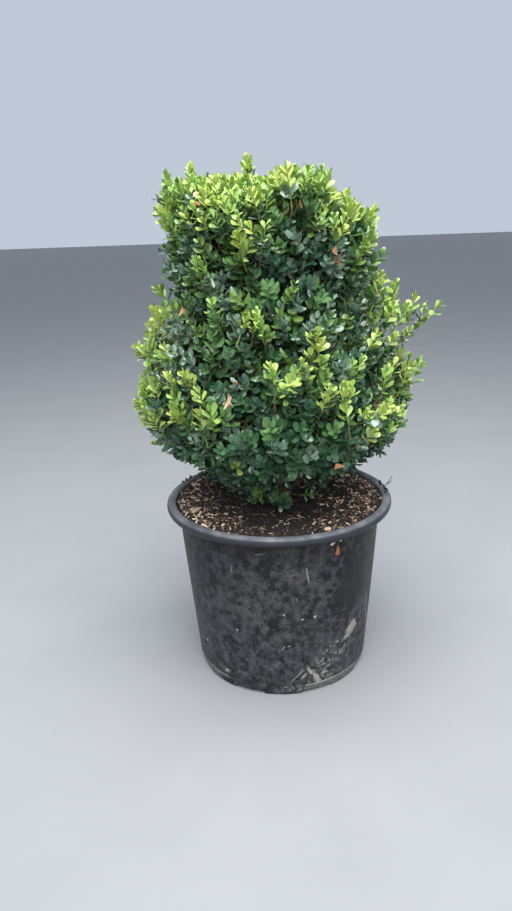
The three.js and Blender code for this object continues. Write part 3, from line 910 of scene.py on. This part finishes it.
def trunk_shape(rings=60, sides=64, ribs=5):
    """The stem, which widens into a ribbed root flare at the compost."""
    path = smooth_path([
        (0, 0, compost_level - 2), (0, 0, compost_level + 16),
        (2, -1.5, (compost_level + trunk_top) / 2), (0, 0, trunk_top - 12), (0, 0, trunk_top),
    ], rings)
    along = np.linspace(0, 1, rings)[:, None]
    flare = np.exp(-7 * along)
    ribbed = 1 + 0.18 * flare * np.cos(ribs * np.arange(sides) / sides * turn)
    radii = (trunk_radius * (1 - 0.2 * along) + flare_radius * flare) * ribbed
    return bark_tube(path, radii, radii, 7, 1.3)


def bough_shape(bough, sides=20):
    radii = np.linspace(*bough["thick"], len(bough["path"]))[:, None] * np.ones((1, sides))
    return bark_tube(bough["path"], radii, 6, 5, 0.7)


# The default tones are the bark's own grey-brown darkened as painted shade, for the trunk and boughs
def bark_finish(name="grey box bark in painted shade", pale=(0.16, 0.128, 0.09), dark=(0.05, 0.038, 0.026)):
    finish = Finish(name, Roughness=0.9)
    grain = finish.noise(5, 6, (1, 1, 0.25))
    patches = finish.noise(24, 3, offset=7)
    colour = finish.blend(grain.rising(0.36, 0.64), dark, pale)
    colour = finish.blend(patches.rising(0.5, 0.68) * 0.5, colour, (0.19, 0.185, 0.13))
    return finish.feed(Base_Color=colour, Normal=finish.relief(finish.noise(2.2, 5, (1, 1, 0.3)), 0.9))


# Shoots, leaves and twigs

# Where the new growth shows in clusters: azimuth in degrees and level on the outline
flush_places = [
    (-168, 822), (-158, 784), (-123, 825), (-110, 836), (-95, 836), (-78, 837), (-62, 828),
    (-48, 811), (-36, 800), (-31, 761), (-130, 708), (-148, 631), (-171, 583), (-147, 586),
    (-116, 643), (-103, 639), (-94, 648), (-71, 690), (-111, 738), (-98, 756), (-80, 601),
    (-75, 587), (-70, 572), (-93, 567), (-55, 580), (-8, 651), (-10, 671), (-12, 671),
    (-8, 570), (-170, 507), (-150, 532), (-155, 496), (-129, 556), (-134, 511), (-118, 526),
    (-114, 507), (-107, 495), (-65, 542), (-58, 525), (-54, 499), (-49, 474), (-43, 476),
    (-40, 500), (-46, 486), (-56, 482),
    (-24, 436), (-111, 769), (-104, 758), (-120, 780), (-71, 622), (-70, 522),
    (-160, 545), (-164, 520), (-140, 498), (-158, 470), (-139, 540), (-128, 500), (-146, 455),
    (-36, 520), (-30, 560), (-20, 600), (-28, 470), (-40, 620),
]
# The long shoots that break the outline, as in the solids: each end, and its rise in degrees
long_shoots = [
    (267, -50, 650, 42), (212, 56, 682, 80), (249, -20, 556, 38), (238, 30, 388, 15),
    (-252, -10, 500, 30), (-246, 50, 586, 45), (-230, 10, 412, 12), (-198, -52, 660, 60),
    (-36, -30, 878, 86), (-124, 0, 875, 84), (-160, -46, 862, 70), (-186, 48, 806, 62),
    (25, -60, 865, 84), (80, 30, 852, 80), (118, -36, 826, 78), (164, -34, 802, 66),
    (-60, 100, 866, 84), (20, -252, 580, 40), (-90, -232, 470, 30), (60, 250, 620, 45),
    (-110, 226, 500, 30), (-30, -80, 322, 20), (42, -76, 326, 20),
]
# New sprays that stand out of the sides and the top: each end, and its rise in degrees
side_sprays = [
    (226, -40, 672, 80), (219, -44, 655, 62), (244, -48, 562, 60), (232, -46, 560, 40),
    (219, -50, 552, 70), (232, -50, 503, 10), (217, -50, 494, 35), (216, -44, 458, 60),
    (232, -40, 412, 6), (222, -46, 396, 4),
    (206, -50, 434, 60), (198, -50, 406, 50), (190, -70, 660, 70),
    (-190, -16, 804, 40), (-184, -30, 814, 48), (-176, -20, 828, 54), (-170, -44, 808, 50),
    (-168, -30, 838, 60), (-160, -16, 851, 66), (-150, -34, 848, 72), (-140, -30, 852, 78),
    (-163, 10, 845, 68), (-154, -50, 836, 70), (-178, 0, 812, 50), (-146, -60, 842, 76),
    (-240, -20, 594, 42), (-230, -24, 602, 62), (-218, -34, 600, 66), (-206, -30, 640, 66),
    (-200, -20, 664, 70), (-192, -20, 694, 60), (-246, -26, 508, 50), (-252, -10, 494, 32),
    (-238, -46, 506, 64), (-242, -20, 474, 34), (-234, -44, 462, 40), (-222, -50, 428, 8),
    (-226, 60, 620, 60), (-200, 110, 560, 50), (-150, 180, 640, 60), (20, 232, 560, 50),
    (140, 186, 520, 45), (190, 130, 460, 30), (-80, 206, 720, 65), (90, 180, 740, 70),
    (160, 90, 740, 70), (120, 150, 660, 60), (-170, 70, 740, 66), (210, 60, 560, 55),
]
# The skyline of the new growth on top: places across, and how high its leaves reach there
top_line = [
    (-190, 800), (-178, 832), (-163, 854), (-132, 859), (-112, 855), (-98, 834), (-90, 853), (-68, 853),
    (-58, 826), (-30, 834), (-8, 830), (2, 854), (22, 863), (42, 860), (50, 844), (60, 859),
    (74, 858), (81, 848), (88, 820), (135, 812), (158, 790), (180, 754),
]
# Withered leaves caught in the face: azimuth in degrees, level, turn in degrees, and tint from 0 to 1
dead_places = [
    (-133, 790, -20, 0.5), (-134, 652, -80, 0.4), (-106, 556, 40, 0.8), (-110, 530, -10, 0.9),
    (-108, 544, -80, 0.8), (-67, 432, 25, 0.4), (-66, 424, -80, 0.9), (-61, 412, -100, 0.9),
    (-85, 424, -95, 0.9), (-61, 754, -90, 0.1), (-60, 742, -70, 0.1), (-76, 802, -60, 0.1),
    (40, 600, 10, 0.5), (95, 520, -60, 0.2), (150, 690, -90, 0.9), (60, 450, 30, 0.4),
    (120, 430, -40, 0.9), (10, 500, 80, 0.1),
]
# The opening under the crown, right of its middle, where the compost lies in the dark
gap_azimuth = math.radians(-60)
gap_half_width = 0.3
gap_top = 396
# How many shoots and inner branches are tried, and how long the twigs are
outer_shoots = 1540
inner_shoots = 620
flush_spots = 1900
foot_shoots = 80
inner_branches = 170
spray_twig = 60
long_twig = 84
# Side shoots branch off within this distance of a long shoot's tip
side_shoot_reach = 96
# A long shoot is upright from this many degrees of rise
steep = 60


class Shoots:
    """Leafy shoots, each curving towards its end. Distances on one are measured back from its end."""

    def __init__(self, end, heading, size, bend, random):
        count = len(end)
        self.end = np.asarray(end, float)
        self.heading = direction(np.asarray(heading, float))
        self.size = size if np.ndim(size) else random.uniform(0.74 * size, 1.14 * size, count)
        self.bend = np.full(count, bend)
        self.spin = random.random(count) * turn
        self.mass = mass_at(self.end)
        self.tint = random.random(count)

    def at(self, back):
        back = np.asarray(back, float) * np.ones(len(self.end))
        return self.end - self.heading * back[:, None] + (self.bend * back**2)[:, None] * up

    def heading_at(self, back):
        back = np.asarray(back, float) * np.ones(len(self.end))
        return direction(self.heading - 2 * (self.bend * back)[:, None] * up)

    def kept(self, mask):
        for name in ("end", "heading", "size", "bend", "spin", "mass", "tint"):
            setattr(self, name, getattr(self, name)[mask])
        return self

    def __len__(self):
        return len(self.end)


class Leaves:
    """Leaf blades: where each starts, its axis, the way its face looks, and its size and tint."""

    def __init__(self):
        self.rows = []

    def put(self, **columns):
        self.rows.append(columns)

    def column(self, name):
        return np.concatenate([row[name] for row in self.rows])


def around(heading, angle):
    """Directions square to the headings, at those angles round them."""
    level = direction(np.cross(heading, up + 0.01 * heading[:, ::-1]))
    above = np.cross(level, heading)
    return level * np.cos(angle)[:, None] + above * np.sin(angle)[:, None]


def facing(face, axis):
    """The ways that blades face, made square to their axes."""
    return direction(face - axis * (face * axis).sum(-1, keepdims=True))


def opposite_leaves(leaves, shoots, random, pairs, first, spacing, length, width, spread, lift,
                    youngest=0.55, cup=(-0.16, 0.06), bend=(-0.14, 0.06)):
    """Crossed pairs of opposite leaves, smaller and more upright towards the shoot's end."""
    count = len(shoots)
    grown_by = 2
    for pair in range(pairs):
        grown = youngest + (1 - youngest) * min(1, pair / grown_by)
        back = (first + spacing * pair) * shoots.size + random.normal(0, 0.8, count)
        foot = shoots.at(back)
        heading = shoots.heading_at(back)
        angle = spread[0] + (spread[1] - spread[0]) * pair / max(1, pairs - 1)
        for opposite in (0, math.pi):
            round_angle = shoots.spin + opposite + pair * turn / 4 + random.normal(0, 0.22, count)
            beside = around(heading, round_angle)
            leaf_angle = angle + random.normal(0, 0.15, count)
            axis = heading * np.cos(leaf_angle)[:, None] + beside * np.sin(leaf_angle)[:, None]
            axis = direction(axis + up * lift * 0.3 + random.normal(0, 0.10, (count, 3)))
            face = heading * np.sin(leaf_angle)[:, None] - beside * np.cos(leaf_angle)[:, None]
            face = facing(face + up * lift + random.normal(0, 0.22, (count, 3)), axis)
            leaf_length = length * shoots.size * grown * random.uniform(0.86, 1.12, count)
            leaves.put(
                foot=foot, axis=axis, face=face, length=leaf_length,
                width=leaf_length * width * random.uniform(0.9, 1.1, count),
                cup=random.normal(*cup, count), bend=random.normal(*bend, count),
                tint=shoots.tint, mass=shoots.mass,
            )


def blade(rows, widths, notch):
    """A leaf blade's points (across, along) and triangles: a face folded at its rib, and a flat back."""
    ribs = len(rows)
    points = [(0, 0)] + [(0, row) for row in rows] + [(0, notch)]
    points += [(-width, row) for row, width in zip(rows, widths)]
    points += [(width, row) for row, width in zip(rows, widths)]
    rib = list(range(1, ribs + 1))
    tip = ribs + 1
    left = list(range(tip + 1, tip + 1 + ribs))
    right = list(range(tip + 1 + ribs, tip + 1 + 2 * ribs))
    faces = [(0, right[0], rib[0]), (0, rib[0], left[0]), (0, left[0], right[0])]
    for row in range(ribs - 1):
        after = row + 1
        faces += [
            (rib[row], right[row], right[after]), (rib[row], right[after], rib[after]),
            (rib[row], rib[after], left[after]), (rib[row], left[after], left[row]),
            (left[row], left[after], right[after]), (left[row], right[after], right[row]),
        ]
    faces += [(rib[-1], right[-1], tip), (rib[-1], tip, left[-1]), (left[-1], tip, right[-1])]
    return np.array(points, float), np.array(faces)


mature_blade = blade((0.12, 0.40, 0.70, 0.93), (0.46, 0.98, 0.90, 0.44), 0.985)
hidden_blade = blade((0.22, 0.58, 0.88), (0.70, 1.0, 0.58), 0.985)
fresh_blade = blade((0.14, 0.46, 0.76, 0.94), (0.24, 0.70, 1.0, 0.66), 0.99)


def leaf_shapes(leaves, form):
    """The points of all leaves, (count, points, 3), and one leaf's triangles."""
    template, faces = form
    across, along = template[:, 0], template[:, 1]
    axis, face = leaves.column("axis"), leaves.column("face")
    beside = np.cross(axis, face)
    length, half = leaves.column("length"), leaves.column("width") / 2
    fold = np.minimum(leaves.column("cup"), -0.03) * half * 2
    height = fold[:, None] * across**2 + (leaves.column("bend") * length)[:, None] * along**2
    points = (
        leaves.column("foot")[:, None]
        + axis[:, None] * (length[:, None] * along)[..., None]
        + beside[:, None] * (half[:, None] * across)[..., None]
        + face[:, None] * height[..., None]
    )
    return points, faces


def dark_gap(azimuth, level):
    """Whether places lie in the opening under the crown."""
    return (np.cos(azimuth - gap_azimuth) > math.cos(gap_half_width)) & (level < gap_top)


def grow_shell(random, count, reach, hollow):
    """Mature shoots, with ends spread over the outline: reach past it, and hollow into it in places."""
    level, azimuth = outline_points(count)
    level = np.maximum(level, crown_foot + 3)
    lift = np.where(level > belly_height, 0.7, 0.3)[:, None] * up
    heading = direction(outward_at(level, azimuth) + lift + random.normal(0, 0.28, (count, 3)))
    where = crown_point(level, azimuth) + random.normal(0, 4, (count, 3))
    patches = lumps(where, 34, 5.5) + 0.5 * lumps(where, 15, 2.5)
    dip = hollow * np.interp(patches, (-0.45, 0.1), (1, 0))
    dip *= np.interp(level, (400, 520, 640), (1.6, 1.2, 0.75))
    out = random.uniform(*reach, count) - dip + np.interp(patches, (0.1, 0.5), (0, 12))
    aside = np.abs(np.cos(azimuth)) ** 4 * (level < 700)
    out -= aside * random.uniform(0, 1, count) * np.where(where[:, 0] > 0, 34, 22)
    shoots = Shoots(where + heading * out[:, None], heading, 1.0, 0.0022, random)
    gaps = lumps(where, 24, 1.7) < np.interp(level, (350, 395, 440), (-0.05, -0.12, -0.8))
    return shoots.kept(~(gaps | dark_gap(azimuth, level)))


def grow_flush(random):
    """New growth: upright sprays in clusters over the face, close together on top, in patches behind."""
    level, azimuth = outline_points(flush_spots)
    share = np.interp(level, (738, 802, 824), (0, 0.42, 1))
    where = crown_point(level, azimuth)
    behind = np.clip((lumps(where, 40, 9.1) - 0.16) * 6, 0, 0.8) * np.clip(np.sin(azimuth) * 5, 0, 1)
    left = np.clip((-where[:, 0] - 60) / 100, 0, 1) * np.clip((560 - level) / 60, 0, 1)
    left = left * np.clip((level - 430) / 40, 0, 1) * (np.sin(azimuth) < 0.2)
    share = np.maximum(share, np.maximum(behind, 0.10 * left))
    chosen = random.random(len(level)) < share
    places = np.repeat(np.array(flush_places, float), 2, axis=0)
    places = places[random.random(len(places)) < 0.78]
    count = len(places)
    azimuth = np.concatenate([azimuth[chosen], np.radians(places[:, 0]) + random.normal(0, 0.05, count)])
    placed = np.minimum(places[:, 1] + random.normal(0, 10, count), crown_top - 1)
    level = np.concatenate([level[chosen], placed])
    count = len(level)
    where = crown_point(level, azimuth)
    heading = direction(outward_at(level, azimuth) * 0.5 + up + random.normal(0, 0.2, (count, 3)))
    size = random.uniform(0.8, 1.12, count)
    skyline = np.interp(where[:, 0], *zip(*top_line)) - 12 * size - random.uniform(0, 16, count)
    skyline -= np.interp(where[:, 1], (-80, 0, 160), (0, 0, 10)) * (1 + lumps(where, 30, 3.3))
    out = np.where(level > 796, np.clip((skyline - where[:, 2]) / heading[:, 2], -4, 40),
                   random.uniform(2, 18, count))
    return Shoots(where + heading * out[:, None], heading, size, 0.003, random)


def from_places(places, back):
    """Ends and headings of shoots whose leaves reach to (x, y, z), rising by so many degrees."""
    x, y, z, rise = np.array(places, float).T
    rise = np.radians(rise)
    heading = polar(np.cos(rise), np.arctan2(y, x), np.sin(rise))
    return np.column_stack([x, y, z]) - heading * back, heading


def grow_sides(random):
    """Single sprays at chosen places round the outline."""
    end, heading = from_places(side_sprays, 14)
    return Shoots(end, heading, 1.05, 0.002, random)


def grow_long(random, places, bend):
    """Long shoots at their places, and side shoots that branch from each of them."""
    end, heading = from_places(places, 12)
    main = Shoots(end, heading, 0.98, bend, random)
    families = [main]
    for share, turned in ((0.34, 0.0), (0.55, 2.4), (0.78, 4.4)):
        back = side_shoot_reach * share
        lean = main.heading_at(back) + around(heading, main.spin + turned) * 0.6 + up * 0.5
        lean = direction(lean)
        side_end = main.at(back) + lean * random.uniform(22, 34, len(end))[:, None]
        families.append(Shoots(side_end, lean, 0.85, 0.003, random))
    return families


def grow_foot(random):
    """Low shoots round the foot of the trunk, most of them at the front."""
    count = foot_shoots
    azimuth = np.radians(np.where(random.random(count) < 0.75, random.normal(-100, 32, count),
                                  random.uniform(-25, 200, count)))
    end = polar(random.uniform(40, 92, count), azimuth, random.uniform(322, 356, count))
    heading = direction(polar(1, azimuth, 0.4) + random.normal(0, 0.2, (count, 3)))
    return Shoots(end, heading, 0.8, 0.004, random).kept(~dark_gap(azimuth, end[:, 2]))


def dead_leaves(random):
    """A few withered leaves caught in the crown's face."""
    leaves = Leaves()
    azimuth, level, turned, tint = np.array(dead_places, float).T
    azimuth, turned = np.radians(azimuth), np.radians(turned)
    count = len(level)
    out = outward_at(level, azimuth)
    proud = random.uniform(8, 17, count) * np.where(level < belly_height, 0.6, 1)
    foot = crown_point(level, azimuth) + out * proud[:, None]
    beside = polar(1, azimuth + turn / 4, 0)
    axis = beside * np.cos(turned)[:, None] + up * np.sin(turned)[:, None] + out * 0.1
    axis = direction(axis + random.normal(0, 0.15, (count, 3)))
    face = facing(direction(out + random.normal(0, 0.3, (count, 3))), axis)
    length = random.uniform(12, 19, count)
    leaves.put(foot=foot, axis=axis, face=face, length=length, width=length * 0.42,
               cup=random.uniform(-1.3, -0.5, count), bend=random.normal(0, 0.55, count),
               tint=tint, mass=mass_at(foot))
    return leaves


def tinted(name, colour, pale, rough, specular, coat=0.0):
    """A leaf's plain tint, a little uneven from leaf to leaf."""
    finish = Finish(name, Specular_IOR_Level=specular, Coat_Weight=coat, Coat_Roughness=0.16)
    shade = finish.noise(13, 2).rising(0.36, 0.66)
    gloss = rough + (finish.noise(6, 3, offset=3) - 0.5) * 0.16
    return finish.feed(Base_Color=finish.blend(shade, colour, pale), Roughness=gloss,
                       Normal=finish.relief(finish.noise(3.5, 3, offset=8), 0.35))


mature_tints = [
    ("deep blue-green leaf", (0.025, 0.078, 0.044), (0.054, 0.135, 0.072)),
    ("dark green leaf", (0.036, 0.110, 0.044), (0.080, 0.184, 0.070)),
    # A paler grey-green tint that is partly leaf colour and partly a painted sheen
    ("grey-green leaf with painted sheen", (0.094, 0.172, 0.110), (0.190, 0.285, 0.200)),
    ("mid green leaf", (0.072, 0.180, 0.053), (0.138, 0.275, 0.086)),
    ("half-grown leaf", (0.150, 0.280, 0.060), (0.225, 0.375, 0.092)),
]
fresh_tints = [
    ("lime new leaf", (0.31, 0.47, 0.095), (0.44, 0.58, 0.155)),
    ("yellow-green new leaf", (0.37, 0.49, 0.10), (0.50, 0.59, 0.165)),
    ("grass-green new leaf", (0.22, 0.38, 0.085), (0.33, 0.49, 0.13)),
]
withered_tints = [
    ("brown withered leaf", (0.17, 0.08, 0.04), (0.29, 0.155, 0.08)),
    ("orange withered leaf", (0.34, 0.145, 0.06), (0.48, 0.25, 0.125)),
    ("tan withered leaf", (0.24, 0.155, 0.085), (0.40, 0.28, 0.17)),
]


# How the leaves stand on each kind of shoot
crown_leaves = dict(pairs=6, first=2, spacing=9, length=19, width=0.62, spread=(0.5, 1.2), lift=0.5,
                    cup=(-0.22, 0.10))
foot_leaves = dict(pairs=5, first=1, spacing=7, length=17, width=0.55, spread=(0.4, 1.1), lift=0.5)
upright_leaves = dict(pairs=8, first=0, spacing=5.2, length=19, width=0.52, spread=(0.12, 0.40),
                      lift=0, youngest=0.75, cup=(-0.10, 0.04))
long_leaves = dict(pairs=4, first=0.5, spacing=7, length=20, width=0.50, spread=(0.3, 0.85), lift=0.1,
                   youngest=0.75)
long_old_leaves = dict(pairs=3, first=34, spacing=13, length=18, width=0.54, spread=(0.8, 1.05),
                       lift=0.3, youngest=1)
spray_leaves = dict(pairs=5, first=0.5, spacing=6, length=18.5, width=0.50, spread=(0.26, 0.85),
                    lift=0.1, youngest=0.6, cup=(-0.10, 0.04), bend=(-0.10, 0.08))
spray_old_leaves = dict(pairs=2, first=35, spacing=9, length=18, width=0.54, spread=(0.8, 1.1),
                        lift=0.4, youngest=1)


def branch_ends(random):
    """Ends of the inner branches, well inside the outline, with the mass that each grows from."""
    level, azimuth = outline_points(inner_branches)
    level = np.maximum(level, crown_foot + 26)
    outline = crown_point(level, azimuth)
    depth = random.uniform(62, 82, inner_branches)[:, None]
    return outline - outward_at(level, azimuth) * depth, mass_at(outline)


def branch_tubes(random, ends, mass):
    """Paths and radii of the inner branches, from the middle of each mass."""
    start = centres[mass] + random.normal(0, 5, (len(ends), 3))
    middle = (start + ends) / 2 + random.normal(0, 8, (len(ends), 3)) - up * 8
    paths = bezier(start, middle, ends, 8)
    paths[:, 1:-1] += random.normal(0, 1.0, paths[:, 1:-1].shape)
    return paths, np.linspace(2.7, 1.5, 8)[None] * np.ones((len(ends), 1))


def twig_tubes(shoots, length, ends, mass):
    """The thin twig of each shoot: its leafy end, and the rest back to the nearest inner branch."""
    lengths = length * shoots.size
    foot = shoots.at(lengths)
    apart = np.linalg.norm(foot[:, None] - ends[None], axis=-1)
    apart += np.where(shoots.mass[:, None] == mass[None], 0, 1000)
    root = ends[apart.argmin(axis=1)]
    bend = foot - shoots.heading_at(lengths) * (0.3 * np.linalg.norm(foot - root, axis=1))[:, None]
    bend[:, 2] = np.maximum(bend[:, 2], np.minimum(foot[:, 2], root[:, 2]) - 5)
    inner = bezier(root, bend, foot, 6)
    outer = np.stack([shoots.at(lengths * share) for share in np.linspace(1, 0, 5)], axis=1)
    return inner, outer


def twig_radii(thick, thin, rings, shoots):
    return np.linspace(thick, thin, rings)[None] * shoots.size[:, None]


def crown_piece(kind, index, shape, finishes, tints=None):
    name = boughs[index]["name"]
    piece(f"{kind}_{name}", shape, finishes, [f"foliage_{name}"], tints)


def put_leaves(kind, groups, tints, rough, specular, coat=0.0):
    """One piece of leaves for each mass. Leaves that would leave the plant's space are skipped."""
    finishes = [tinted(*tint, rough, specular, coat) for tint in tints]
    for index in range(len(boughs)):
        shapes, chosen = [], []
        for leaves, form in groups:
            points, faces = leaf_shapes(leaves, form)
            mine = (leaves.column("mass") == index) & in_space(points).all(axis=1)
            shapes.append(copies(points[mine], faces))
            tint = np.floor(leaves.column("tint")[mine] * len(tints)).astype(int)
            chosen.append(np.repeat(tint, len(faces)))
        if sum(len(tint) for tint in chosen):
            crown_piece(kind, index, joined(shapes), finishes, np.concatenate(chosen))


def put_twigs(random, brown, green, ends, end_mass):
    """For each mass a piece of brown twigs, with its stem and branches, and one of green twigs."""
    brown_bark = bark_finish("tan twig bark", (0.30, 0.24, 0.11), (0.13, 0.10, 0.05))
    green_bark = bark_finish("green twig bark", (0.42, 0.45, 0.09), (0.24, 0.30, 0.06))
    branch_paths, branch_radii = branch_tubes(random, ends, end_mass)
    for index, bough in enumerate(boughs):
        path, thick = bough["path"], bough["thick"][1]
        stem = bezier(path[-1], path[-1] + (path[-1] - path[-2]) * 3, bough["centre"], 8)
        grown = end_mass == index
        inner_wood = [
            tubes(branch_paths[grown], branch_radii[grown], 5),
            tubes(stem, np.linspace(thick, thick * 0.6, 8)[None], 8),
        ]
        for kind, families, others, finish, slot in [
            ("twigs", brown, inner_wood, brown_bark, "bark"),
            ("new_twigs", green, [], green_bark, "fresh_leaves"),
        ]:
            shapes = [tubes(paths[mass == index], radii[mass == index], 3)
                      for paths, radii, mass in families if (mass == index).any()]
            if shapes or others:
                crown_piece(kind, index, joined(shapes + others), finish)


def grow_crown():
    random = np.random.default_rng(plant_seed + 1)
    outer = grow_shell(random, outer_shoots, (-26, 8), 48)
    inner = grow_shell(random, inner_shoots, (-92, -46), 10)
    flush, sides = grow_flush(random), grow_sides(random)
    arching = [place for place in long_shoots if place[3] < steep]
    erect = [place for place in long_shoots if place[3] >= steep]
    long, *long_sides = grow_long(random, arching, -0.001)
    upright, *top_sides = grow_long(random, erect, 0.0005)
    foot = grow_foot(random)
    x, level = outer.end[:, 0], outer.end[:, 2]
    upper_left = np.clip((40 - x) / 160, 0, 1) * np.clip((level - 560) / 120, 0, 1)
    outer.tint = outer.tint ** (1 - 0.5 * upper_left)
    # Painted shade: the shell's leaves get darker tints lower down the crown
    outer.tint *= np.interp(level, (440, 520, 600, 700), (0.5, 0.82, 0.9, 1))
    # Painted shade: the inner leaves get only the darkest tints
    inner.tint *= 0.4

    mature, hidden, fresh = Leaves(), Leaves(), Leaves()
    spray = [(fresh, spray_leaves), (mature, spray_old_leaves)]
    top_spray = [(fresh, spray_leaves), (fresh, spray_old_leaves)]
    brown, green = [], []
    ends, end_mass = branch_ends(random)
    for shoots, length, wood, habits in [
        (outer, spray_twig, brown, [(mature, crown_leaves)]),
        (inner, spray_twig, brown, [(hidden, crown_leaves)]),
        (flush, spray_twig, green, spray),
        (sides, spray_twig, green, spray),
        (long, long_twig, green, [(fresh, long_leaves), (mature, long_old_leaves)]),
        (upright, long_twig, green, [(fresh, upright_leaves)]),
        *[(shoots, spray_twig, green, spray) for shoots in long_sides],
        *[(shoots, spray_twig, green, top_spray) for shoots in top_sides],
        (foot, spray_twig, green, [(hidden, foot_leaves)]),
    ]:
        shoots.kept(in_space(shoots.end) & in_space(shoots.at(28)) & in_space(shoots.at(56)))
        twig, tip = twig_tubes(shoots, length, ends, end_mass)
        clear = in_space(np.concatenate([twig[:, 2:], tip[:, :3]], axis=1), under=22).all(axis=1)
        shoots.kept(clear)
        for leaves, habit in habits:
            opposite_leaves(leaves, shoots, random, **habit)
        brown.append((twig[clear], twig_radii(1.4, 1.0, 6, shoots), shoots.mass))
        wood.append((tip[clear], twig_radii(1.0, 0.45, 5, shoots), shoots.mass))

    old_groups = [(mature, mature_blade), (hidden, hidden_blade)]
    put_leaves("leaves", old_groups, mature_tints, 0.28, 0.55, 0.35)
    put_leaves("new_leaves", [(fresh, fresh_blade)], fresh_tints, 0.42, 0.5)
    withered = [(dead_leaves(random), mature_blade)]
    put_leaves("withered_leaves", withered, withered_tints, 0.7, 0.3)
    put_twigs(random, brown, green, ends, end_mass)


# The whole object

set_camera()
set_light()
pale_floor()
piece("pot_shell", pot_shape(), pot_finish(), ["pot"], edge=0.9)
lay_compost()
lay_litter()
bark = bark_finish()
piece("trunk_bark", trunk_shape(), bark, ["trunk"])
for bough in boughs:
    piece(f"bark_{bough['name']}", bough_shape(bough), bark, [f"bough_{bough['name']}"])
grow_crown()

bpy.context.view_layer.update()
